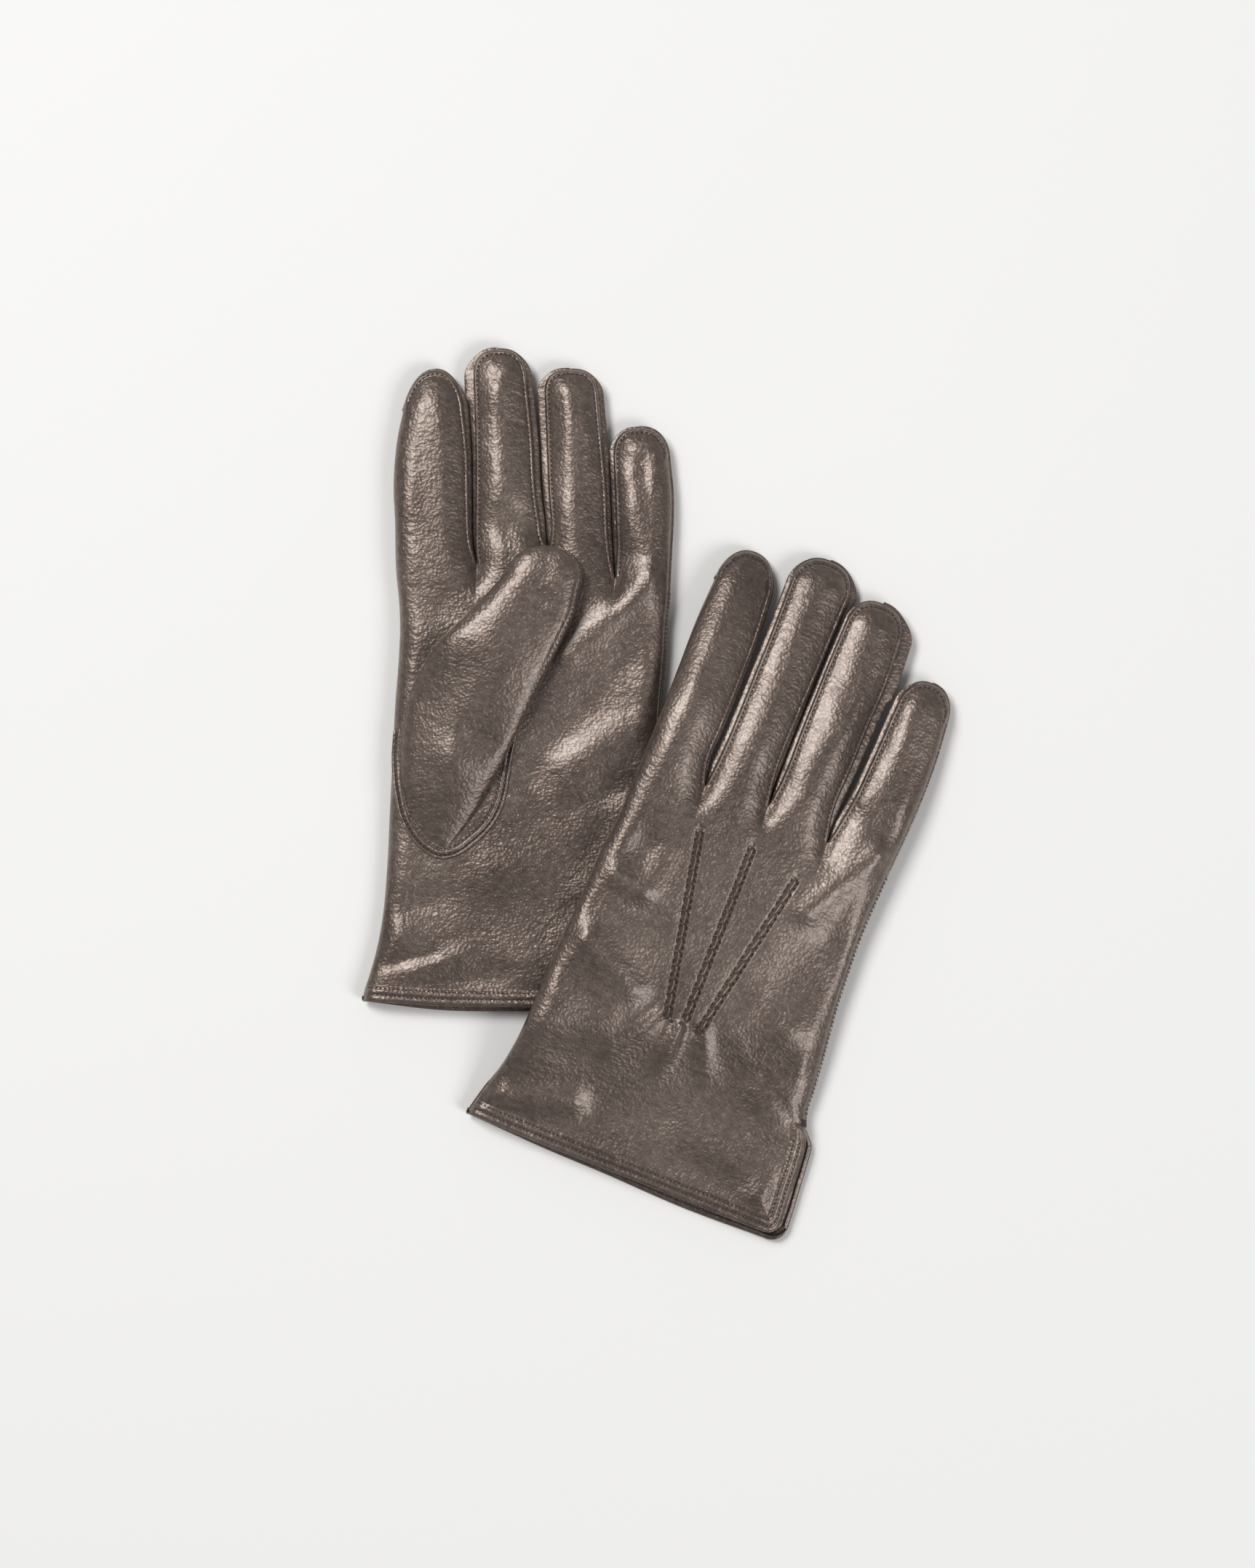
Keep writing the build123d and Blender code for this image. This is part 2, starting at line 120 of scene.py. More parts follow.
RIGHT_GLOVE = dict(
    side="right", origin=(-6.52, -141.42, 7.6), heading=-21.0, lean=6.5,
    edges=[
        [(-4, -66.4), (0, -65.6), (3, -65.0), (8, -64.0), (18, -61.5), (30, -60.0), (40, -59.5),
         (55, -59.0), (75, -58.0), (90, -57.0), (105, -56.5), (120, -55.0), (140, -54.5), (160, -54.0),
         (180, -53.5), (200, -53.0), (215, -51.8)],
        [(0, -32.0), (50, -29.0), (100, -29.0), (142, -29.0)],
        [(0, -5.0), (50, -5.0), (100, -5.0), (143.5, -4.5)],
        [(0, 24.0), (50, 20.5), (100, 20.0), (138.5, 21.0)],
        [(-4, 56.6), (5, 56.2), (15, 55.5), (25, 54.9), (33, 53.8), (38, 52.0), (43, 50.0), (50, 49.5),
         (62, 48.5), (75, 47.0), (85, 46.0), (95, 45.5), (110, 45.0), (125, 45.5), (140, 46.5),
         (155, 47.5), (185, 47.8), (193, 47.2)],
    ],
    right_seams=[
        [(142, -29.0), (150, -31.2), (165, -31.0), (180, -30.4), (200, -29.8), (215, -30.2)],
        [(143.5, -4.5), (155, -6.0), (180, -5.5), (200, -4.2), (221, -3.1)],
        [(138.5, 21.0), (150, 18.9), (170, 19.5), (185, 20.0), (200, 21.0), (214, 20.6)], None],
    left_seams=[
        None, [(142, -29.0), (152, -28.0), (180, -26.5), (210, -25.5), (221, -25.3)],
        [(143.5, -4.5), (152, -3.4), (175, -2.8), (200, -2.0), (214, -1.4)],
        [(138.5, 21.0), (146, 22.6), (170, 25.5), (193, 27.0)]],
    crotches=[142.0, 143.5, 138.5], tips=[229.5, 236.5, 228.5, 207.5],
    bulge_left=[0.0, 1.6, 1.6, 1.6], bulge_right=[1.2, 3.4, 4.6, 0.8],
    tip_length=[14.5, 12.5, 12.0, 12.0], tip_power=[2.3, 2.4, 2.5, 2.4],
    droop=[0.2, 0.145, 0.085, 0.05], split=136.0, folds=[173, 173, 173, 164],
    hem_upper=[(-67, -1.8), (-35, -2.6), (0, -3.0), (57, -3.6)],
    hem_lower=[(-67, -2.4), (-35, -4.4), (-10, -5.2), (20, -6.6), (60, -6.0)],
    dents=[(-43, 197, 6, 13, 0.9), (-45, 174, 6, 10, 0.9), (-37, 160, 6, 8, -0.5),
           (-45, 149, 7, 9, 0.8), (-43, 113, 6.5, 7, -1.3), (-37, 124, 8, 5, 0.7),
           (-34, 91, 9, 6, -1.0), (-52, 88, 6, 8, -0.6), (14, 193, 4, 9, 0.7), (13, 180, 4, 8, 0.8),
           (2, 185, 5, 18, -0.5), (-17, 190, 7, 20, -0.4), (32, 195, 4, 7, 0.8), (33, 184, 5, 8, 0.7),
           (26, 160, 5, 6, 0.8), (37, 151, 9, 6, -1.2), (36, 107, 9, 12, -1.3), (33, 69, 7, 7, 1.5),
           (41, 60, 4, 5, 0.8), (24, 84, 10, 9, -0.7), (-39, 33, 13, 7, -1.3), (-16, 40, 9, 8, -0.5),
           (34, 42, 10, 7, 1.2), (45, 9, 8, 8, 1.8), (30, 17, 10, 6, 1.1), (14, 9, 16, 7, -0.8),
           (10, 28, 12, 7, 0.6), (6, 145, 10, 8, 0.5), (14, 100, 7, 12, 0.5)],
    folds_over=[(39, 141, 23, 113, 5.5, 2.0), (-34, 114, -35, 100, 5.0, 0.9),
                (-37, 97, -48, 101, 4.2, 0.9), (-49, 75, -28, 64, 5.5, 1.6),
                (-60, 8, -32, 16, 5.2, 2.3), (47, 38, 30, 50, 2.0, -0.5), (52, 30, 36, 26, 3.0, -0.6),
                (-56, 62, -38, 52, 4.0, -0.7)],
)
# The three points on the back: wrist end and knuckle end, as (u, v).
POINTS = {
    "right": [((-11.5, 57), (-25.5, 127)), ((-5.0, 58.5), (-5.0, 128)), ((1.0, 56), (14.5, 123))],
    "left": [((-13.0, 57), (-25.0, 127)), ((-5.5, 58), (-5.5, 128)), ((1.5, 57), (14.5, 122))],
}
# The folded thumb of the palm-up glove: its two sides from the palm seam's lower end up to the tip.
THUMB_SIDES = [
    ((-34.8, 51.2), (-32.8, 53.0)), ((-41.8, 54.8), (-28.5, 58.5)), ((-47.6, 62.8), (-23.5, 65.5)),
    ((-50.4, 74.0), (-18.5, 74.0)), ((-51.2, 86.0), (-14.0, 81.5)), ((-50.2, 97.0), (-9.8, 89.6)),
    ((-47.6, 108.0), (-5.8, 97.6)), ((-42.5, 118.5), (-1.6, 106.5)), ((-34.8, 129.5), (4.2, 118.6)),
    ((-25.8, 138.6), (10.2, 130.6)), ((-17.8, 146.6), (14.2, 139.6)), ((-11.6, 153.4), (15.8, 147.4)),
]
THUMB_DENTS = [(-32, 84, 9, 12, 1.0), (-22, 94, 10, 7, -1.3), (3, 143, 7, 6, -0.8),
               (-14, 124, 9, 12, 0.6)]
THUMB_AXIS = {"left": (-27.3, 101.6, 28.4), "right": (-22.0, 98.0, 21.0)}   # fold centre u, v and heading
HIDDEN_WELT = [(-9.5, 90), (-11, 78), (-14, 66), (-20, 56), (-28, 50.5), (-36, 50), (-44, 57),
               (-49, 68), (-50, 80), (-47, 92)]
THUMB_WELT = [(-7.5, 100), (-9.0, 94), (-10.3, 88.6), (-11.8, 78.6), (-14.0, 68.6), (-18.0, 61.2),
              (-24.0, 55.2), (-30.5, 50.8), (-35.5, 49.8), (-41.6, 52.8), (-48.2, 61.6), (-51.4, 73.6),
              (-52.3, 85.6), (-51.6, 96.6)]


# --- small maths --------------------------------------------------------------------------------------
def curve(points):
    """A smooth function through (x, y) points. It runs on straight past both ends."""
    xs, ys = np.array(points, float).T
    slopes = np.gradient(ys, xs)

    def at(x):
        x = np.asarray(x, float)
        inside = np.clip(x, xs[0], xs[-1])
        i = np.clip(np.searchsorted(xs, inside) - 1, 0, len(xs) - 2)
        h = xs[i + 1] - xs[i]
        t = (inside - xs[i]) / h
        y = ((2 * t**3 - 3 * t**2 + 1) * ys[i] + (t**3 - 2 * t**2 + t) * h * slopes[i]
             + (3 * t**2 - 2 * t**3) * ys[i + 1] + (t**3 - t**2) * h * slopes[i + 1])
        return y + (x - inside) * np.where(x < xs[0], slopes[0], slopes[-1])

    return at


def smooth(x, low=0.0, high=1.0):
    t = np.clip((np.asarray(x, float) - low) / (high - low), 0, 1)
    return t * t * (3 - 2 * t)


def noise(x, y, seed=0):
    """Smooth repeatable noise between -1 and 1, with features about one unit wide."""
    def corner(i, j):
        a = np.sin(i * 127.1 + j * 311.7 + seed * 74.7) * 43758.5453
        return a - np.floor(a)

    i, j = np.floor(x), np.floor(y)
    fx, fy = x - i, y - j
    fx, fy = fx * fx * (3 - 2 * fx), fy * fy * (3 - 2 * fy)
    low = corner(i, j) * (1 - fx) + corner(i + 1, j) * fx
    high = corner(i, j + 1) * (1 - fx) + corner(i + 1, j + 1) * fx
    return 2 * (low * (1 - fy) + high * fy) - 1


def from_line(u, v, start, end):
    """Distance from the segment between two (u, v) points, and the signed distance across it."""
    du, dv = end[0] - start[0], end[1] - start[1]
    length = math.hypot(du, dv)
    along = np.clip(((u - start[0]) * du + (v - start[1]) * dv) / length**2, 0, 1)
    across = ((u - start[0]) * dv - (v - start[1]) * du) / length
    return np.hypot(u - start[0] - along * du, v - start[1] - along * dv), across


def pulse(x, centre, width):
    return np.exp(-(((x - centre) / width) ** 2))


def unit(vectors):
    return vectors / np.linalg.norm(vectors, axis=1, keepdims=True)


def signed_power(x, power):
    return np.sign(x) * np.abs(x) ** power


def end_cap(past, power, least=0.0001):
    """Width share over a rounded end: 1 where past is 0, almost nothing where it is 1."""
    return np.clip(1 - past**power, least, None) ** (1 / power)


def measure(line):
    """The distance run at each point of a line."""
    return np.concatenate([[0], np.cumsum(np.linalg.norm(np.diff(line, axis=0), axis=1))])


def follow(run, values, at):
    """A smooth curve through values at the distances run, read at other distances."""
    return curve(list(zip(run, values)))(at)


# --- the shape of a glove -----------------------------------------------------------------------------
def prepare(g):
    """Adds the smooth curves of a glove's seams, and its turn, to its measures."""
    g["edge_at"] = [curve(e) for e in g["edges"]]
    g["right_at"] = [curve(e) if e else None for e in g["right_seams"]]
    g["left_at"] = [curve(e) if e else None for e in g["left_seams"]]
    g["hem_at"] = {False: curve(g["hem_upper"]), True: curve(g["hem_lower"])}
    heading = Matrix.Rotation(math.radians(g["heading"]), 3, "Z")
    lean = Matrix.Rotation(math.radians(g["lean"]), 3, "Y")
    g["turn"] = np.array(heading @ lean)


def placed(g, points):
    """Points of the glove's frame, in mm, to the row frame, in metres."""
    return (np.asarray(points, float) @ g["turn"].T + np.array(g["origin"])) * MM


def sides(g, f, v):
    """The finger's left and right edge at v, without the rounding of its tip."""
    v = np.asarray(v, float)
    if f == 0:
        left = g["edge_at"][0](v)
    else:
        left = np.where(v < g["crotches"][f - 1], g["edge_at"][f](v), g["left_at"][f](v))
    if f == 3:
        right = g["edge_at"][4](v)
    else:
        right = np.where(v < g["crotches"][f], g["edge_at"][f + 1](v), g["right_at"][f](v))
    return left, right


def thickness(v):
    return CUFF_THICK + (KNUCKLE_THICK - CUFF_THICK) * np.clip(v / KNUCKLE_V, 0, 1)


def tip_end(g, f, lower):
    return g["tips"][f] + (LOWER_TIP if lower else 0.0)


def tip_share(g, f, v, lower):
    """0 up to where the fingertip starts to round off, 1 at its end."""
    return np.clip((v - tip_end(g, f, lower)) / g["tip_length"][f] + 1, 0, 1)


def rise(d, start, reach):
    """How a sheet rises from an edge: start is its share of height at the edge itself."""
    t = np.clip(d / reach, 0, 1)
    return start + (1 - start) * np.sqrt(1 - (1 - t) ** 2)


def ease(d, start, reach):
    """As rise, but with a softer shoulder."""
    t = np.clip(d / reach, 0, 1)
    return start + (1 - start) * np.sin(t * math.pi / 2) ** 0.9


def hem_distance(g, u, v, lower):
    """Distance in from the cuff's edge, which turns up along the side slit."""
    along = v - g["hem_at"][lower](u)
    out = SLIT_LAP if lower else 0.0
    side = g["edge_at"][4](v) + out - u
    side = side + 60 * smooth(v, VENT_TOP - 1, VENT_TOP + 3)
    r = VENT_CORNER
    corner = r - np.hypot(np.clip(r - along, 0, None), np.clip(r - side, 0, None))
    return np.where((along < r) & (side < r), corner, np.minimum(along, side))


def fullness(g, f, v, dl, dr, t, inside, lower):
    """The share of its full height that a sheet has, from its distances to the finger's edges."""
    seam, reach = (0.45, 6.0) if lower else (0.30, 10.5)
    outer_reach = 5.0 if lower else 8.0
    if f == 0:
        from_left = rise(dl, 0.0, outer_reach)
    else:
        open_left = smooth(v, g["crotches"][f - 1] - 15, g["crotches"][f - 1] + 5)
        from_left = 1 - (1 - ease(dl, seam, reach)) * open_left
    if f == 3:   # the side slit leaves the sheet's edge lying free
        slit = 1 - smooth(v, VENT_TOP - 6, VENT_TOP + 4)
        from_right = rise(dr, 0.08, outer_reach) * (1 - slit) + (0.55 + 0.45 * ease(dr, 0.0, 14.0)) * slit
    else:
        open_right = smooth(v, g["crotches"][f] - 15, g["crotches"][f] + 5)
        from_right = 1 - (1 - ease(dr, seam, reach)) * open_right
    body = from_left * from_right
    return body + (ease(inside, 0.22, 9.0) - body) * smooth(t * 2.2)


def seam_lip(d):
    """A raised lip at a seam and the groove that its stitches pull in."""
    return 0.38 * pulse(d, 0.6, 0.5) - 0.30 * pulse(d, STITCH_IN, 0.40)


def relief(g, f, u, v, dl, dr, t, inside, lower, sink):
    """What stands above the smooth sheet: swellings, folds, creases, seam lips and the hem."""
    extra = 0.0
    if lower == (g["side"] == "left"):
        for ends in POINTS[g["side"]]:
            extra = extra - sink * pulse(from_line(u, v, *ends)[0], 0, 1.3)
    if not lower:
        for du, dv, ru, rv, amount in g["dents"]:
            extra = extra + amount * np.exp(-(((u - du) / ru) ** 2) - (((v - dv) / rv) ** 2))
        for u0, v0, u1, v1, wide, amount in g["folds_over"]:
            extra = extra + amount * pulse(from_line(u, v, (u0, v0), (u1, v1))[0], 0, wide)
        extra = extra + 0.52 * noise(u / 19 + 3, v / 23, 1) + 0.22 * noise(u / 8.5, v / 9.5, 2)
        if g["side"] == "right":
            extra = extra + pleats(u, v)
    # creases that run across the hand, deepest where it bends
    warp_v = v + 1.6 * noise(u / 9, v / 13, 5)
    fold_zone = 0.35 + 0.65 * np.clip(noise(u / 17 + 9, v / 19, 6) + 0.4, 0, 1)
    lines = 1 - np.abs(noise(u / 7.5, warp_v / 1.9, 7))
    extra = extra - 0.075 * np.clip(lines - 0.62, 0, 1) * 2.6 * fold_zone
    extra = extra + 0.05 * noise(u / 2.6, v / 1.7, 8) * fold_zone
    edge = dl if f == 0 else dr if f == 3 else 99.0
    calm = smooth(edge, 0, 7) * (1 - 0.6 * smooth(t * 2))
    hem = hem_distance(g, u, v, lower)
    extra = extra * calm * smooth(hem, 4.5, 10.5)
    # seam lips with their stitched grooves, and a small hollow at each crotch
    seams = [(dl, g["crotches"][f - 1])] if f > 0 else []
    seams += [(dr, g["crotches"][f])] if f < 3 else []
    for d, start in seams:
        extra = extra + smooth(v, start - 1.0, start + 3.0) * (1 - smooth(t * 3)) * seam_lip(d)
    extra = extra + smooth(t * 3) * seam_lip(inside)
    for d, start in seams:
        extra = extra - 0.9 * pulse(d, 0, 2.2) * pulse(v, start - 2.5, 4.0)
    # the rolled hem and the slit's binding stand proud, with a groove along each row of stitches
    band = 0.75 * (1 - smooth(hem, HEM_ROWS[1] + 0.1, HEM_ROWS[1] + 0.8))
    band = band - 0.36 * pulse(hem, HEM_ROWS[0], 0.36) - 0.34 * pulse(hem, HEM_ROWS[1] - 0.1, 0.36)
    band = band + 0.12 * pulse(hem, 1.3, 0.7) + 0.12 * pulse(hem, 3.8, 0.7)
    band = band - 0.55 * np.clip(1 - hem / 0.9, 0, 1) ** 2
    return extra + band * smooth(edge, 0.0, 2.0)


def height(g, f, u, v, lower=False, plain=False, sink=0.5):
    """Height w of a sheet at (u, v) inside finger group f. It sinks a little along the three points."""
    left, right = sides(g, f, v)
    t = tip_share(g, f, v, lower)
    centre, half = (left + right) / 2, (right - left) / 2
    s = np.clip(np.abs((u - centre) / half), 0, 1)
    power = g["tip_power"][f]
    inside = np.clip((1 - (s**power + t**power) ** (1 / power)) * half, 0, None)
    dl, dr = np.clip(u - left, 0, None), np.clip(right - u, 0, None)
    share = fullness(g, f, v, dl, dr, t, inside, lower)
    extra = 0.0 if plain else relief(g, f, u, v, dl, dr, t, inside, lower, sink)
    thick = thickness(v) - TIP_THINNER * smooth(v, g["folds"][f] - 10, g["tips"][f] - 10)
    if lower:
        w = thick / 2 * (1 - share) - extra * 0.6
        return np.maximum(w, -0.1) + lay(g, f, u, v)
    return thick / 2 * (1 + share) + extra + lay(g, f, u, v)


def pleats(u, v):
    """Soft folds that fan out below the three points."""
    away = np.hypot(u + 5, v - 76)
    angle = np.arctan2(u + 5, 76 - v)
    fan = (0.5 + 0.5 * np.cos(angle * 12.5 + 0.7)) ** 1.8 * 2 - 0.75
    fan = fan * pulse(angle, -0.06, 0.60)
    return 1.15 * fan * smooth(away, 15, 20) * (1 - smooth(away, 24, 50))


def lay(g, f, u, v):
    """How far the overlapping glove sags from its plane to what lies under it."""
    if g["side"] == "left":
        return 0.0
    past = np.clip(v - 158, 0, None)
    bend = np.where(past < 16, past**2 / 32, past - 8)
    down = -g["droop"][f] * bend
    plane = g["origin"][2] - np.asarray(u) * math.sin(math.radians(g["lean"]))
    a = math.radians(g["heading"])
    y = g["origin"][1] + u * math.sin(a) + v * math.cos(a)
    x = g["origin"][0] + u * math.cos(a) - v * math.sin(a)
    off = smooth(-y, 81, 122) * (1 - smooth(x, 10, 60) * 0.3)
    return down - off * np.clip(plane - 0.4, 0, None)


def columns(width, lower, slit_side):
    """Column offsets across a width: close together at the edges, even between them."""
    fine = np.array([0, 0.3, 0.6, 0.9, 1.2, 1.5, 1.9, 2.5, 3.3])
    hemmed = np.array([0, 0.4, 0.8, 1.2, 1.7, 2.1, 2.5, 2.9, 3.4, 3.9, 4.4, 4.8, 5.2, 5.8, 6.6])
    right = hemmed if slit_side else fine
    shrink = np.minimum(1, width / 13.0)[:, None]
    middle = np.linspace(0, 1, 12 if lower else 26)[1:-1]
    a, b = fine[None] * shrink, width[:, None] - right[None, ::-1] * shrink
    between = a[:, -1:] + (b[:, :1] - a[:, -1:]) * middle[None]
    return np.concatenate([a, between, b], axis=1)


def row_stations(g, f):
    """The rows' places from the cuff to where the fingertip starts to round off."""
    rows = list(np.concatenate([np.arange(0, 7.0, 0.38), np.arange(7.2, 34, 0.8)]) + CUFF_START)
    marks = sorted([g["split"], VENT_TOP] + g["crotches"]) + [g["tips"][f] - g["tip_length"][f]]
    for mark in marks:
        if mark > rows[-1]:
            n = max(1, int(round((mark - rows[-1]) / ROW_PITCH)))
            rows += list(np.linspace(rows[-1], mark, n + 1)[1:])
    return np.array(rows)


def grid(g, f, lower):
    """The u, v, w of one sheet over finger group f, as rows by columns."""
    rows = row_stations(g, f)
    left, right = sides(g, f, rows)
    if lower and f == 3:
        right = right + SLIT_LAP * (1 - smooth(rows, VENT_TOP - 7, VENT_TOP + 1))
    cols = columns(right - left, lower, f == 3)
    u = left[:, None] + cols
    v = np.repeat(rows[:, None], cols.shape[1], axis=1)
    # the first rows follow the cuff's edge and its round corner beside the slit
    shift = g["hem_at"][lower](u) - CUFF_START
    if f == 3:
        d = np.clip(VENT_CORNER - (right[:, None] - u), 0, VENT_CORNER)
        shift = shift + VENT_CORNER - np.sqrt(np.clip(VENT_CORNER**2 - d**2, 0, None))
    v = v + shift * (1 - smooth(v - CUFF_START, 0, 30))
    # the tip
    length = g["tip_length"][f]
    start = tip_end(g, f, lower) - length
    share = np.sin(np.linspace(0, math.pi / 2, 21)[1:])
    tip_v = start + length * share
    if lower:
        v[-1] = start
    a, b = sides(g, f, tip_v)
    half = np.maximum((b - a) / 2 * end_cap(share, g["tip_power"][f], 0), 0.02)
    base = (cols[-1] / cols[-1][-1]) * 2 - 1
    u = np.concatenate([u, ((a + b) / 2)[:, None] + half[:, None] * base[None]])
    v = np.concatenate([v, np.repeat(tip_v[:, None], len(base), axis=1)])
    return u, v, height(g, f, u, v, lower)


# --- meshes -------------------------------------------------------------------------------------------
class Soup:
    """Collects grids of points as quads with a label each, then welds them and splits them by label."""

    def __init__(self):
        self.points, self.quads, self.labels, self.count = [], [], [], 0

    def add(self, grid_points, label, flip=False, closed=False):
        rows, cols = grid_points.shape[:2]
        index = np.arange(rows * cols).reshape(rows, cols) + self.count
        if closed:
            index = np.concatenate([index, index[:, :1]], axis=1)
        a, b, c, d = index[:-1, :-1], index[:-1, 1:], index[1:, 1:], index[1:, :-1]
        quads = np.stack([a, b, c, d], -1).reshape(-1, 4)
        if flip:
            quads = quads[:, ::-1]
        if isinstance(label, str):
            label = np.full(len(quads), label, dtype=object)
        self.points.append(grid_points.reshape(-1, 3))
        self.quads.append(quads)
        self.labels.append(label)
        self.count += rows * cols

    def weld(self):
        points, quads, labels = (np.concatenate(a) for a in (self.points, self.quads, self.labels))
        keys = np.round(points, 3)
        _, first, inverse = np.unique(keys, axis=0, return_index=True, return_inverse=True)
        points, quads = points[first], inverse.reshape(-1)[quads]
        keep = (quads[:, 0] != quads[:, 2]) & (quads[:, 1] != quads[:, 3])
        return points, quads[keep], labels[keep]


def vertex_normals(points, quads):
    across = np.cross(points[quads[:, 2]] - points[quads[:, 0]], points[quads[:, 3]] - points[quads[:, 1]])
    normals = np.zeros_like(points)
    for k in range(4):
        np.add.at(normals, quads[:, k], across)
    length = np.linalg.norm(normals, axis=1, keepdims=True)
    return normals / np.maximum(length, 1e-12)


def mesh_object(name, points, quads, material, normals=None):
    """A mesh from numpy arrays. Quads with two equal corners become triangles."""
    mesh = bpy.data.meshes.new(name)
    faces = []
    for q in quads.tolist():
        face = [k for i, k in enumerate(q) if k != q[i - 1]]
        if len(face) > 2:
            faces.append(face)
    mesh.from_pydata(points.tolist(), [], faces)
    mesh.polygons.foreach_set("use_smooth", [True] * len(mesh.polygons))
    mesh.materials.append(material)
    if normals is not None:
        mesh.normals_split_custom_set_from_vertices(normals.tolist())
    mesh.update()
    made = bpy.data.objects.new(name, mesh)
    bpy.context.scene.collection.objects.link(made)
    return made


def split_objects(g, soup, material):
    """Welds a soup and makes one object for each label, with normals that run on across the cuts."""
    points, quads, labels = soup.weld()
    turned = vertex_normals(points, quads) @ g["turn"].T
    where = placed(g, points)
    made = {}
    for label in sorted(set(labels)):
        used, inverse = np.unique(quads[labels == label], return_inverse=True)
        made[label] = mesh_object(label, where[used], inverse.reshape(-1, 4), material, turned[used])
    return made


def sew(g, name, paths, pitch, length, radius, lift=0.0, skew=10.0, seed=0):
    """Short thread stitches along paths, as one object. Each path is (points, up directions)."""
    ring = [(math.cos(a), math.sin(a)) for a in np.linspace(0, 2 * math.pi, 7)[:-1]]
    stops = [(-1.0, 0.25), (-0.72, 0.85), (0.0, 1.05), (0.72, 0.85), (1.0, 0.25)]
    template = np.array([[(a * length / 2, c * r * radius, s * r * radius) for c, s in ring]
                         for a, r in stops])
    all_points, all_quads, count = [], [], 0
    index = np.arange(30).reshape(5, 6)
    index = np.concatenate([index, index[:, :1]], axis=1)
    local = np.stack([index[:-1, :-1], index[:-1, 1:], index[1:, 1:], index[1:, :-1]], -1).reshape(-1, 4)
    for number, (points, ups) in enumerate(paths):
        run = measure(points)

        def read(values, at):
            return np.stack([np.interp(at, run, values[:, k]) for k in range(3)], -1)

        many = max(1, int(run[-1] / pitch))
        at = (np.arange(many) + 0.5) * run[-1] / many
        centre, up = read(points, at), read(ups, at)
        along = unit(read(points, at + 0.5) - read(points, at - 0.5))
        side = unit(np.cross(up, along))
        top = np.cross(along, side)
        sway = 5 * noise(np.arange(many) * 1.7 + 0.3, np.full(many, number + 0.4), seed)
        turn = np.radians(skew + sway)[:, None]
        length_way = along * np.cos(turn) + side * np.sin(turn)
        cross_way = side * np.cos(turn) - along * np.sin(turn)
        cloud = centre[:, None, None] + top[:, None, None] * lift
        for k, way in enumerate((length_way, cross_way, top)):
            cloud = cloud + template[None, ..., k:k + 1] * way[:, None, None]
        all_points.append(cloud.reshape(-1, 3))
        all_quads.append((local[None] + (np.arange(many) * 30)[:, None, None] + count).reshape(-1, 4))
        count += many * 30
    return mesh_object(name, placed(g, np.concatenate(all_points)), np.concatenate(all_quads), THREAD)


def tube(points, ups, half_width, half_height, sides_count=10):
    """A rounded cord of leather along points, drawn in at both ends."""
    along = unit(np.gradient(points, axis=0))
    side = unit(np.cross(ups, along))
    top = np.cross(along, side)
    place = np.arange(len(points))
    taper = np.minimum(1, np.minimum(place, place[::-1]) / 3 + 0.05) ** 0.5
    a = np.linspace(0, 2 * math.pi, sides_count + 1)[:-1]
    wide, tall = (half_width * taper)[:, None, None], (half_height * taper)[:, None, None]
    return (points[:, None] + side[:, None] * (np.cos(a)[None, :, None] * wide)
            + top[:, None] * (np.sin(a)[None, :, None] * tall))


# --- materials ----------------------------------------------------------------------------------------
def node(tree, kind, **values):
    made = tree.nodes.new(kind)
    for key, value in values.items():
        if key in made.inputs:
            made.inputs[key].default_value = value
        else:
            setattr(made, key, value)
    return made


def ramp_node(tree, stops):
    made = tree.nodes.new("ShaderNodeValToRGB")
    elements = made.color_ramp.elements
    while len(elements) < len(stops):
        elements.new(0.5)
    for element, (at, colour) in zip(elements, stops):
        element.position, element.color = at, (*colour, 1)
    return made


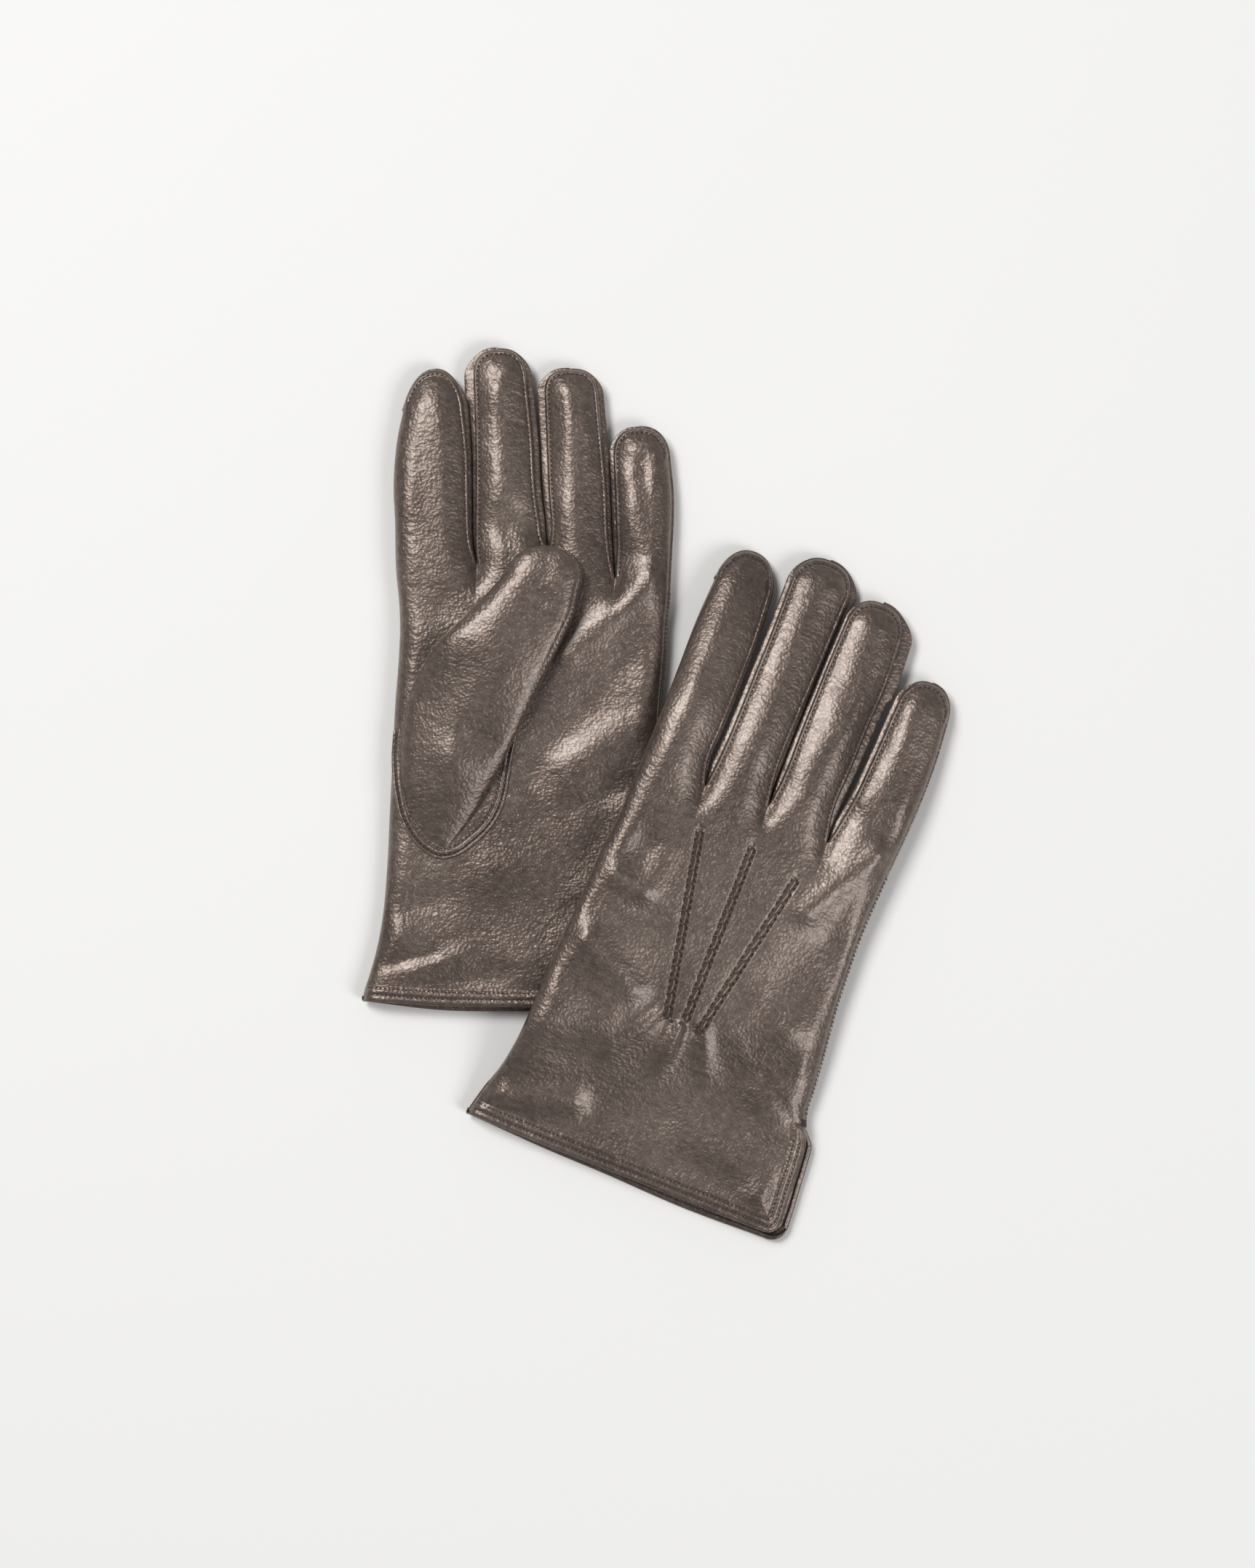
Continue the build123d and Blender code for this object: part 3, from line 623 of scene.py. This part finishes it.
def leather(name, heading):
    """Fine-grained glove leather with a pearly bronze finish."""
    material = bpy.data.materials.new(name)
    material.use_nodes = True
    tree = material.node_tree
    tree.nodes.clear()
    link = tree.links.new
    out = node(tree, "ShaderNodeOutputMaterial")
    shader = node(tree, "ShaderNodeBsdfPrincipled", **LEATHER_FINISH)
    link(shader.outputs[0], out.inputs[0])
    place = node(tree, "ShaderNodeTexCoord")
    turned = node(tree, "ShaderNodeMapping", Rotation=(0, 0, math.radians(-heading)))
    stretched = node(tree, "ShaderNodeMapping", Scale=(0.42, 1.0, 0.7))
    link(place.outputs["Object"], turned.inputs["Vector"])
    link(turned.outputs[0], stretched.inputs["Vector"])

    def texture(kind, source=turned, **values):
        made = node(tree, kind, **values)
        link(source.outputs[0], made.inputs["Vector"])
        return made

    # colour: broad patches mixed with fine mottling; the broad patches also vary the gloss
    broad = texture("ShaderNodeTexNoise", Scale=24.0, Detail=3.0, Roughness=0.55)
    mottle = texture("ShaderNodeTexNoise", Scale=420.0, Detail=4.0, Roughness=0.65)
    half = node(tree, "ShaderNodeMath", operation="MULTIPLY")
    half.inputs[1].default_value = 0.45
    mixed = node(tree, "ShaderNodeMath", operation="MULTIPLY_ADD")
    mixed.inputs[1].default_value = 0.55
    shades = ramp_node(tree, LEATHER_SHADES)
    gloss = node(tree, "ShaderNodeMapRange", **{"To Min": 0.30, "To Max": 0.42})
    link(broad.outputs[0], half.inputs[0])
    link(mottle.outputs[0], mixed.inputs[0])
    link(half.outputs[0], mixed.inputs[2])
    link(mixed.outputs[0], shades.inputs[0])
    link(shades.outputs[0], shader.inputs["Base Color"])
    link(broad.outputs[0], gloss.inputs["Value"])
    link(gloss.outputs[0], shader.inputs["Roughness"])
    # grain: short creases across the hand, a pebbled surface on them, and pores on that
    creases = texture("ShaderNodeTexNoise", stretched, Scale=620.0, Detail=3.0, Roughness=0.6, Distortion=0.6)
    pebble = texture("ShaderNodeTexVoronoi", feature="SMOOTH_F1", Scale=880.0, Smoothness=0.55)
    pores = texture("ShaderNodeTexNoise", Scale=2600.0, Detail=2.0)
    under = None
    for layer, strength, depth in ((creases, 0.50, 0.00052), (pebble, 0.55, 0.00032), (pores, 0.35, 0.00010)):
        bump = node(tree, "ShaderNodeBump", Strength=strength, Distance=depth)
        link(layer.outputs[0], bump.inputs["Height"])
        if under:
            link(under.outputs[0], bump.inputs["Normal"])
        under = bump
    link(under.outputs[0], shader.inputs["Normal"])
    return material


def cloth(name, colour, roughness=0.9, scale=900.0, sheen=0.3):
    """Brushed knit or thread."""
    material = bpy.data.materials.new(name)
    material.use_nodes = True
    tree = material.node_tree
    shader = tree.nodes["Principled BSDF"]
    shader.inputs["Base Color"].default_value = (*colour, 1)
    shader.inputs["Roughness"].default_value = roughness
    shader.inputs["Sheen Weight"].default_value = sheen
    place = node(tree, "ShaderNodeTexCoord")
    weave = node(tree, "ShaderNodeTexNoise", Scale=scale, Detail=3.0)
    tree.links.new(place.outputs["Object"], weave.inputs["Vector"])
    bump = node(tree, "ShaderNodeBump", Strength=0.6, Distance=0.0003)
    tree.links.new(weave.outputs[0], bump.inputs["Height"])
    tree.links.new(bump.outputs[0], shader.inputs["Normal"])
    return material


KNIT = cloth("dark knit lining", (0.022, 0.018, 0.016))
THREAD = cloth("sewing thread", (0.040, 0.021, 0.017), 0.60, 2200.0, 0.1)


# --- one glove ----------------------------------------------------------------------------------------
def outward(u, v):
    """Unit normals in plan, to the right of a path."""
    du, dv = np.gradient(u), np.gradient(v)
    length = np.maximum(np.hypot(du, dv), 1e-9)
    return dv / length, -du / length


def side_wall(g, f, upper, lower, right_side):
    """The edge lips and side strip between a finger's two sheets, from its crotch round to the tip."""
    column = -1 if right_side else 0
    rows = row_stations(g, f)
    if right_side and f == 3:
        start = int(np.searchsorted(rows, VENT_TOP))
    elif right_side or f > 0:
        start = int(np.searchsorted(rows, g["crotches"][f if right_side else f - 1] - 0.01))
    else:
        start = len(rows) - 1
    (ua, va, wa), (ub, vb, wb) = ([a[start:, column] for a in sheet] for sheet in (upper, lower))
    sign = 1 if right_side else -1
    nu, nv = outward(ua, va)
    nu, nv = nu * sign, nv * sign
    nu[-1], nv[-1] = 0, 1
    small = np.clip(np.clip(wa - wb, 0.05, None) / 3.2, 0.12, 1)
    ramp = smooth(measure(np.stack([ua, va], -1)), 0, 5)
    bulge = np.full(len(ua), (g["bulge_right"] if right_side else g["bulge_left"])[f])
    if not (f == 3 and right_side):
        other = f + 1 if right_side else f - 1
        if 0 <= other < 4:   # the strip never reaches past the middle of the gap to the next finger
            left, right = sides(g, other, va)
            gap = (left - ua) if right_side else (ua - right)
            beyond = smooth(va, g["tips"][other] - 13, g["tips"][other] - 2)
            bulge = np.minimum(bulge, np.clip(gap / 2 - 0.12, 0.05, None) + 9 * beyond)
        bulge = bulge * (1 - 0.75 * smooth(tip_share(g, f, va, False), 0.1, 0.9))
    bulge = bulge * ramp
    lip = [(0.0, 0.0), (0.16, 0.35), (0.14, 0.8), (-0.1, 1.05), (-0.5, 1.1)]

    def line(out, raised, u, v, w):
        return np.stack([u + nu * out, v + nv * out, w + raised], -1)

    top_lip = np.stack([line(o * ramp, -d * small, ua, va, wa) for o, d in lip], 1)
    low_lip = np.stack([line(o * ramp, d * small, ub, vb, wb) for o, d in lip], 1)
    c = np.linspace(0, 1, 9)
    push = (np.sin(c * math.pi) ** 0.75)[None] * (bulge + 0.45)[:, None]
    strip = top_lip[:, -1:] * (1 - c)[None, :, None] + low_lip[:, -1:] * c[None, :, None]
    strip[..., 0] += nu[:, None] * push
    strip[..., 1] += nv[:, None] * push
    return top_lip, strip, low_lip, start


def edge_roll(points, inward, down, steps=((0.0, 0.0), (-0.12, 0.35), (0.05, 0.8), (0.6, 1.05), (1.6, 1.1))):
    """The rounded raw side of a free leather edge, turned under."""
    return np.stack([points + inward * a + down * b for a, b in steps], 1)


def hand_labels(g, f, u, v, lower):
    """Which leather piece each quad of a sheet belongs to, below the fingers."""
    mid_u, mid_v = (u[:-1, :-1] + u[1:, 1:]) / 2, (v[:-1, :-1] + v[1:, 1:]) / 2
    labels = np.full(mid_u.shape, f"{g['side']}_hand_leather", dtype=object)
    labels[hem_distance(g, mid_u, mid_v, lower) < HEM_WIDTH] = f"{g['side']}_cuff_hem_leather"
    if f == 3:
        near = (g["edge_at"][4](mid_v) - mid_u < HEM_WIDTH) & (mid_v > 9) & (mid_v < VENT_TOP)
        labels[near] = f"{g['side']}_slit_binding_leather"
    return labels


def glove(g):
    """All the pieces of one glove, by name."""
    prepare(g)
    side = g["side"]
    skin = leather(f"{side} glove leather", g["heading"])
    soup, strips = Soup(), Soup()
    sheets = {}
    for f in range(4):
        finger, rows = f"{side}_{NAMES[f]}", row_stations(g, f)
        split = int(np.searchsorted(rows, g["split"] - 0.01))
        for lower in (False, True):
            u, v, w = grid(g, f, lower)
            if f == 0 and lower:   # the fold on the index side: both sheets share their edge
                stop = int(np.searchsorted(rows, g["tips"][0] - 30))
                for own, upper in zip((u, v, w), sheets[0, False]):
                    own[:stop, 0] = upper[:stop, 0]
            sheets[f, lower] = (u, v, w)
            labels = hand_labels(g, f, u, v, lower)
            labels[split:] = f"{finger}_leather"
            soup.add(np.stack([u, v, w], -1), labels.reshape(-1), flip=lower)
        for right_side in (False, True):
            top_lip, strip, low_lip, start = side_wall(g, f, sheets[f, False], sheets[f, True], right_side)
            hand_rows = max(split - start, 0) if f == 3 and right_side else 0
            parts = ((top_lip, "leather", soup, False), (low_lip, "leather", soup, True),
                     (strip, "fourchettes", strips, False))
            for part, label, target, flip in parts:
                turned = flip if right_side else not flip
                if hand_rows:
                    hand = f"{side}_hand_leather" if target is soup else f"{side}_outseam_leather"
                    target.add(part[:hand_rows + 1], hand, flip=turned)
                target.add(part[hand_rows:], f"{finger}_{label}", flip=turned)

    # free edges at the cuff and the slit, turned under
    for lower in (False, True):
        down = np.array([0, 0, 1.0 if lower else -1.0])
        for f in range(4):
            line = np.stack([a[0] for a in sheets[f, lower]], -1)
            soup.add(edge_roll(line, np.array([0, 1.0, 0]), down), f"{side}_cuff_hem_leather", flip=not lower)
        stop = int(np.searchsorted(row_stations(g, 3), VENT_TOP)) + 1
        line = np.stack([a[:stop, -1] for a in sheets[3, lower]], -1)
        soup.add(edge_roll(line, np.array([-1.0, 0, 0]), down), f"{side}_slit_binding_leather", flip=lower)

    pieces = {**split_objects(g, soup, skin), **split_objects(g, strips, skin), **threads(g), **lining(g),
              **ridges(g, skin)}
    pieces.update(folded_thumb(g, skin) if side == "left" else hidden_thumb(g, skin))
    return pieces


def surface_path(g, f, u, v, lower=False):
    """Points on a sheet and their up directions."""
    up = np.tile([0, 0, -1.0 if lower else 1.0], (len(u), 1))
    return np.stack([u, v, height(g, f, u, v, lower)], -1), up


def group_of(g, u, v):
    """The finger group that each point of the hand belongs to."""
    found = np.zeros(np.shape(u), int)
    for k in (1, 2, 3):
        found[u > g["edge_at"][k](np.minimum(v, 135))] = k
    return found


def hand_height(g, u, v, lower=False, **options):
    """Height of a sheet at any points of the hand."""
    groups, w = group_of(g, u, v), np.zeros_like(u)
    for f in range(4):
        own = groups == f
        if own.any():
            w[own] = height(g, f, u[own], v[own], lower, **options)
    return w


def finger_row(g, f, lower, right_side):
    """A row of stitches up one side of a finger and half way round its tip."""
    rows, power = row_stations(g, f), g["tip_power"][f]
    start = tip_end(g, f, lower) - g["tip_length"][f]
    if f < 3 if right_side else f > 0:
        first = g["crotches"][f if right_side else f - 1] + 1.2
    else:
        first = g["tips"][f] - g["tip_length"][f]
    v = rows[(rows > first) & (rows < start - 0.3)]
    left, right = sides(g, f, v)
    u = right - STITCH_IN if right_side else left + STITCH_IN
    share = np.sin(np.linspace(0, math.pi / 2, 12))
    tip_v = start + (g["tip_length"][f] - STITCH_IN) * share
    a, b = sides(g, f, tip_v)
    half = ((b - a) / 2 - STITCH_IN) * end_cap(share, power, 0)
    tip_u = (a + b) / 2 + (half if right_side else -half)
    return surface_path(g, f, np.concatenate([u, tip_u]), np.concatenate([v, tip_v]), lower)


def hem_line(g, lower, inset):
    """A row of stitches along the cuff's edge, round its corner and up the side slit."""
    out, r = SLIT_LAP if lower else 0.0, VENT_CORNER - inset
    little, hem = g["edge_at"][4], g["hem_at"][lower]
    corner_u = float(little(0.0)) + out - VENT_CORNER
    base = float(hem(corner_u))
    along = np.linspace(g["edge_at"][0](0.0) + 1.2, 38, 60)
    line = [(float(u), float(hem(u)) + inset) for u in along if u < corner_u - 1]
    line += [(corner_u + r * math.cos(a), base + VENT_CORNER + r * math.sin(a))
             for a in np.linspace(-math.pi / 2, 0, 8)]
    line += [(float(little(v)) + out * (1 - float(smooth(v, 30, 38))) - inset, float(v))
             for v in np.arange(base + VENT_CORNER + 2, VENT_TOP - 4, 2.0)]
    return line


def hand_path(g, line, lower=False, lift=0.0, steps=None):
    """A line over the hand, given by (u, v) points, laid on the sheet."""
    line = np.array(line, float)
    run = measure(line)
    n = steps or max(8, int(run[-1] / 0.8))
    at = np.linspace(0, run[-1], n)
    u, v = follow(run, line[:, 0], at), follow(run, line[:, 1], at)
    w = hand_height(g, u, v, lower) + (-lift if lower else lift)
    return np.stack([u, v, w], -1), np.tile([0, 0, -1.0 if lower else 1.0], (n, 1))


def threads(g):
    """Every row of stitches on the hand and fingers, one object for each body or seam."""
    side, made = g["side"], {}

    def row(name, *how, **more):
        made[f"{side}_{name}"] = sew(g, f"{side}_{name}", *how, **more)

    for f in range(4):
        paths = [finger_row(g, f, lower, right_side)
                 for lower in (False, True) for right_side in (False, True)]
        row(f"{NAMES[f]}_stitches", paths, SEAM_PITCH, 1.2, 0.24, 0.10, seed=f)
    paths = [hand_path(g, hem_line(g, lower, inset), lower) for lower in (False, True) for inset in HEM_ROWS]
    row("hem_stitches", paths, HEM_PITCH, 1.05, 0.24, 0.10, skew=6, seed=9)
    # fine stitches along the little side, and the bar tack at the top of the slit
    v = np.arange(VENT_TOP + 4, g["split"], 1.0)
    edge = g["edge_at"][4](v)
    w = (height(g, 3, edge, v) + height(g, 3, edge, v, True)) / 2 + 0.62
    path = np.stack([edge + 0.75, v, w], -1), np.tile([0.3, 0, 1.0], (len(v), 1))
    row("outseam_stitches", [path], 1.6, 1.0, 0.14)
    bars = []
    for v0 in VENT_TOP + 0.2 + 0.42 * np.arange(6):
        edge = float(g["edge_at"][4](v0))
        bars.append(surface_path(g, 3, np.linspace(edge - 2.6, edge + 0.2, 8), np.full(8, v0)))
    row("slit_tack", bars, 3.0, 3.0, 0.24, 0.12, skew=0)
    return made


def lining(g):
    """The knitted bag inside the cuff."""
    soup = Soup()
    v = np.concatenate([np.arange(2.0, 12, 1.0), np.arange(12, 96, 3.0)])
    left, right = g["edge_at"][0](v) + 1.6, g["edge_at"][4](v) - 1.4
    u = left[:, None] + (right - left)[:, None] * np.linspace(0, 1, 40)[None]
    vv = np.repeat(v[:, None], 40, axis=1)
    thick = thickness(vv)
    edge = np.minimum(u - left[:, None], right[:, None] - u)
    for lower in (False, True):
        clear = 1.35 if lower else 1.35 + 1.9 * smooth(vv, 9, 20)
        half = (thick / 2 - clear) * rise(edge, 0.0, 6.0)
        w = thick / 2 + (-half if lower else half) + lay(g, 1, u, vv)
        inside = vv + np.clip(g["hem_at"][lower](u) + 3, -4, 4) * (1 - smooth(vv, 2, 20))
        soup.add(np.stack([u, inside, w], -1), f"{g['side']}_lining", flip=not lower)
    return split_objects(g, soup, KNIT)


def ridges(g, skin):
    """The three points: ridges pinched up by a thread, with a notch and a spur wherever it crosses them."""
    side, soup, paths = g["side"], Soup(), []
    lower = side == "left"
    slope = np.linspace(0.9, 2.3, 7)
    across_at = np.concatenate([[-2.6], -slope[::-1], np.linspace(-0.75, 0.75, 13), slope, [2.6]])
    for number, (low, high) in enumerate(POINTS[side]):
        length = math.dist(low, high)
        ahead = (np.array(high) - low) / length
        right = np.array([ahead[1], -ahead[0]])
        run = np.arange(0, length, 0.16)
        s, x = run[:, None], across_at[None, :]
        since = ((run / NOTCH_PITCH + 0.37 * number) % 1.0)[:, None] * NOTCH_PITCH
        twist = 0.75 + 0.5 * (1 - s / length)
        sway = (-0.36 + 0.50 * np.clip(since / 3.6, 0, 1) ** 0.8) * twist * 0.8
        crest = 1.55 - 0.62 * twist * pulse(since, 0, 0.55) - 0.28 * pulse(since, NOTCH_PITCH, 0.4)
        ridge = crest * np.exp(-(np.abs((x - sway) / 0.78) ** 2.2))
        spur_at = since - 0.1 - 0.55 * (x + 1.0)
        spurs = pulse(spur_at, 0, 0.42) + pulse(spur_at, NOTCH_PITCH, 0.42)
        spur = 1.05 * twist * pulse(x, -1.12, 0.48) * spurs
        groove = -0.34 * pulse(np.abs(x), 1.50, 0.42)
        ends = smooth(run, 0, 1.6) * smooth(-run, -length, -length + 1.6)
        profile = (ridge + groove + spur) * ends[:, None] - 0.45 * (np.abs(x) > 2.5) + 0.035
        u = low[0] + ahead[0] * s + right[0] * x
        v = low[1] + ahead[1] * s + right[1] * x
        w = hand_height(g, u, v, lower, sink=0.0) + (-PRESSED * profile if lower else profile)
        soup.add(np.stack([u, v, w], -1), f"{side}_points_leather", flip=lower)
        for x0 in (-1.50, 1.50):
            line = [tuple(np.array(low) + right * x0 + ahead * d) for d in (0.8, length - 0.3)]
            paths.append(hand_path(g, line, lower, 0.02 if lower else 0.10, 90))
    if side == "right":   # the stitch that bridges two points at their wrist end
        for up in (0, 0.6):
            bridge = [(-11.2, 56.4 + up), (-8.0, 57.4 + up), (-5.3, 57.8 + up)]
            paths.append(hand_path(g, bridge, False, 0.45))
    made = split_objects(g, soup, skin)
    name = f"{side}_points_stitches"
    made[name] = sew(g, name, paths, 2.5, 1.5, 0.15, 0.02, skew=4)
    return made


def folded_thumb(g, skin):
    """The thumb of the palm-up glove, lying over the palm, with the welt of its seam."""
    tip = 13.6
    sides_in = np.array(THUMB_SIDES, float)
    run = measure(sides_in.mean(1))
    start = run[-1]
    round_tip = start + tip * np.sin(np.linspace(0, math.pi / 2, 22)[1:])
    at = np.concatenate([np.linspace(0, start, 150), round_tip])
    left, right = (np.stack([follow(run, sides_in[:, j, k], np.minimum(at, start)) for k in (0, 1)], -1)
                   for j in (0, 1))
    heading = math.radians(19)
    ahead = np.array([math.sin(heading), math.cos(heading)])
    past = np.clip(at - start, 0, None) / tip
    half = (right - left) / 2 * end_cap(past, 2.3)[:, None]
    centre = (left + right) / 2 + ahead * (past * tip)[:, None]
    share = at / start
    level = curve([(0, 0), (0.2, 1.6), (0.4, 3.6), (0.6, 5.6), (0.8, 6.3), (1.2, 6.0)])(share)
    tall = curve([(0, 0.5), (0.12, 2.0), (0.3, 4.0), (0.5, 5.2), (0.7, 5.4), (1.0, 5.0), (1.2, 4.4)])(share)
    a = np.linspace(0, 2 * math.pi, 97)[:-1]
    s, lift = signed_power(np.cos(a), 0.86)[None], signed_power(np.sin(a), 0.82)[None]
    top = np.clip(lift, 0, 1)
    u, v = (centre[:, k:k + 1] + half[:, k:k + 1] * s for k in (0, 1))
    palm = np.minimum(hand_height(g, u, np.clip(v, None, 150), plain=True), 11.9)
    # its left side starts on the palm and comes free higher up; its right side is free almost at once
    free = smooth(share, 0.46, 0.74)[:, None]
    root_left = (palm - 1.0) * (1 - free) + 12.4 * free
    under = palm.clip(9.5, 12)
    base = np.where(s < 0, root_left * -s + under * (1 + s), under)
    shrink = end_cap(past, 2.6, 0.003)[:, None]
    falling = np.clip(-s, 0, 1) * (1 - free)
    w = base + level[:, None] * (1 - falling * 0.92)
    w = w + tall[:, None] * (1 - falling * 0.25) * shrink * np.where(lift > 0, lift, lift * 0.98)
    in_from_side = (1 - np.abs(s)) * np.linalg.norm(half, axis=1)[:, None]
    rough = 0.5 * noise(u / 17, v / 20, 21) + 0.20 * noise(u / 7, v / 8, 22)
    for du, dv, ru, rv, amount in THUMB_DENTS:
        rough = rough + amount * np.exp(-(((u - du) / ru) ** 2) - (((v - dv) / rv) ** 2))
    lines = 1 - np.abs(noise(u / 8, (v + 1.5 * noise(u / 9, v / 12, 23)) / 2.0, 24))
    rough = rough - 0.08 * np.clip(lines - 0.62, 0, 1) * 2.6
    w = w + rough * top * smooth(in_from_side, 0, 6) * shrink * smooth(share, 0, 0.2)[:, None]
    seam_on = (lift > 0) * (s > 0) * smooth(share, 0.62, 0.8)[:, None]
    w = w - 0.5 * pulse(in_from_side, 1.8, 0.5) * seam_on
    surface = np.stack([u, v, w], -1)
    soup = Soup()
    soup.add(surface, "left_thumb_leather", closed=True)
    rim = surface[6:128, int(np.argmin(np.abs(a - math.pi * 0.93)))]
    rim_up = np.tile([-0.25, 0.1, 1.0], (len(rim), 1))
    soup.add(tube(rim, rim_up, 0.42, 0.42, 8), "left_thumb_leather", closed=True)
    made = split_objects(g, soup, skin)
    # the welt: two cords with a sewn groove between them, and a second row of stitches outside
    cords = Soup()
    welt, ups = hand_path(g, THUMB_WELT, False, 0.10, 190)
    across = unit(np.cross(ups, np.gradient(welt, axis=0)))
    for offset, wide, high in ((-0.95, 0.72, 0.72), (0.95, 0.80, 0.42)):
        line, _ = hand_path(g, (welt - across * offset)[::3, :2], False, 0.08, 190)
        cords.add(tube(line, ups, wide, high), "left_thumb_welt_leather", closed=True)
    made.update(split_objects(g, cords, skin))
    rows = [hand_path(g, (welt - across * offset)[3:-2:4, :2], False, up)
            for offset, up in ((0.0, 0.22), (2.3, 0.05))]
    made["left_thumb_seam_stitches"] = sew(g, "left_thumb_seam_stitches", rows, 1.7, 1.15, 0.22, 0.03, seed=4)
    # stitches on the thumb's own seam, down its free side from the tip
    edge = surface[95:-4, int(np.argmin(np.abs(a - 0.42)))]
    row = edge, np.tile([0.35, -0.15, 0.9], (len(edge), 1))
    made["left_thumb_stitches"] = sew(g, "left_thumb_stitches", [row], SEAM_PITCH, 1.2, 0.17, 0.03)
    return made


def hidden_thumb(g, skin):
    """The flattened thumb under the palm of the upper glove."""
    (fold_u, fold_v, heading), length, tip = THUMB_AXIS["right"], 66.0, 11
    heading = math.radians(heading)
    round_tip = length - tip + tip * np.sin(np.linspace(0, math.pi / 2, 16)[1:])
    at = np.concatenate([np.linspace(-44, length - tip, 70), round_tip])
    half = curve([(-44, 2.0), (-36, 7.5), (-24, 11.5), (-8, 12.8), (10, 12.5), (length - tip, 11.3),
                  (length, 11.2)])(at)
    past = np.clip(at - (length - tip), 0, None) / tip
    half = half * end_cap(past, 2.3)
    bend = curve([(-44, -5.5), (-20, -1.6), (0, 0.0), (length, 0.0)])(at)
    a = np.linspace(0, 2 * math.pi, 65)[:-1]
    across = bend[:, None] + half[:, None] * signed_power(np.cos(a), 0.85)[None]
    u = fold_u + at[:, None] * math.sin(heading) + across * math.cos(heading)
    v = fold_v + at[:, None] * math.cos(heading) - across * math.sin(heading)
    tall = 2.7 * end_cap(past, 2.6, 0.003) * smooth(at, -46, -8)
    middle = -3.2 * smooth(at, -40, 4)
    w = middle[:, None] + tall[:, None] * signed_power(np.sin(a), 0.8)[None] + 0.15 * noise(u / 9, v / 9, 31)
    soup = Soup()
    soup.add(np.stack([u, v, w], -1), "right_thumb_leather", closed=True)
    made = split_objects(g, soup, skin)
    welt, ups = hand_path(g, HIDDEN_WELT, True, 0.1, 120)
    cord = Soup()
    cord.add(tube(welt, ups, 0.9, 0.45, 12), "right_thumb_welt_leather", closed=True)
    made.update(split_objects(g, cord, skin))
    return made


# --- riding on the CAD bodies -------------------------------------------------------------------------
def ride_along(g, pieces):
    """Finger and thumb pieces stay where they are, the rest follow the hand; each stands for its CAD nodes.
    """
    side = g["side"]
    hand = f"{side}_hand"

    def bend(piece, part, heading, before, after):
        a = math.radians(heading)
        ahead = Vector(placed(g, [math.sin(a), math.cos(a), 0])) - Vector(placed(g, [0, 0, 0]))
        ahead.normalize()
        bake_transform(piece)

    for name, piece in pieces.items():
        finger = next((n for n in NAMES if f"{side}_{n}_" in name), None)
        if finger:
            bend(piece, finger, 0, *FINGER_BEND[side])
        elif name in ("left_thumb_leather", "left_thumb_stitches", "right_thumb_leather"):
            bend(piece, "thumb", THUMB_AXIS[side][2], *THUMB_BEND[side])
        else:
            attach(piece, hand)

    stands_for = {
        "hand_leather": ["trank", "quirks"], "cuff_hem_leather": ["cuff_hem"],
        "slit_binding_leather": ["vent_binding"], "slit_tack": ["vent_tack"], "points_leather": ["points"],
        "outseam_leather": ["outseam"], "lining": ["palm_lining"],
        "thumb_leather": ["thumb_stall", "thumb_root", "thumb_lining"], "thumb_welt_leather": ["thumb_welt"]}
    for finger in NAMES:
        strips = [n[len(side) + 1:] for n in sorted(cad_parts)
                  if n.startswith(f"{side}_{finger}_fourchette")]
        stands_for[f"{finger}_leather"] = [f"{finger}_stall", f"{finger}_lining"]
        stands_for[f"{finger}_fourchettes"] = strips
    for name, parts in stands_for.items():
        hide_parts(*[f"{side}_{part}" for part in parts])


for data in (LEFT_GLOVE, RIGHT_GLOVE):
    ride_along(data, glove(data))


# --- floor, light and camera --------------------------------------------------------------------------
def plain_floor():
    mesh = bpy.data.meshes.new("floor")
    s = 3.0
    mesh.from_pydata([(-s, -s, 0), (s, -s, 0), (s, s, 0), (-s, s, 0)], [], [(0, 1, 2, 3)])
    made = bpy.data.objects.new("floor", mesh)
    bpy.context.scene.collection.objects.link(made)
    material = bpy.data.materials.new("pale paper")
    material.use_nodes = True
    shader = material.node_tree.nodes["Principled BSDF"]
    shader.inputs["Base Color"].default_value = (0.90, 0.90, 0.90, 1)
    shader.inputs["Roughness"].default_value = 0.9
    shader.inputs["Specular IOR Level"].default_value = 0.1
    mesh.materials.append(material)


def area_light(name, place, target, size, power, colour=(1, 1, 1)):
    data = bpy.data.lights.new(name, "AREA")
    data.shape, data.size, data.energy, data.color = "SQUARE", size, power, colour
    made = bpy.data.objects.new(name, data)
    made.location = place
    made.rotation_mode = "QUATERNION"
    made.rotation_quaternion = (Vector(target) - Vector(place)).to_track_quat("-Z", "Y")
    bpy.context.scene.collection.objects.link(made)


plain_floor()
area_light("key light", (-1.10, 1.15, 2.35), (0, 0, 0), 1.05, 53.0, (1.0, 0.99, 0.965))
area_light("fill light", (1.65, -1.20, 2.10), (0, 0, 0), 1.30, 29.5, (1.0, 0.998, 0.992))

world = bpy.data.worlds.new("studio")
world.use_nodes = True
background = world.node_tree.nodes["Background"]
background.inputs["Color"].default_value = (1, 1, 1, 1)
background.inputs["Strength"].default_value = 0.235
bpy.context.scene.world = world

camera_data = bpy.data.cameras.new("camera")
camera_data.lens, camera_data.sensor_width = 100.0, 36.0
camera = bpy.data.objects.new("camera", camera_data)
camera.location = (-0.01012, 0.00233, 1.619)
camera.rotation_euler = (0, 0, 0)
bpy.context.scene.collection.objects.link(camera)
bpy.context.scene.camera = camera
bpy.context.scene.view_settings.view_transform = "Standard"
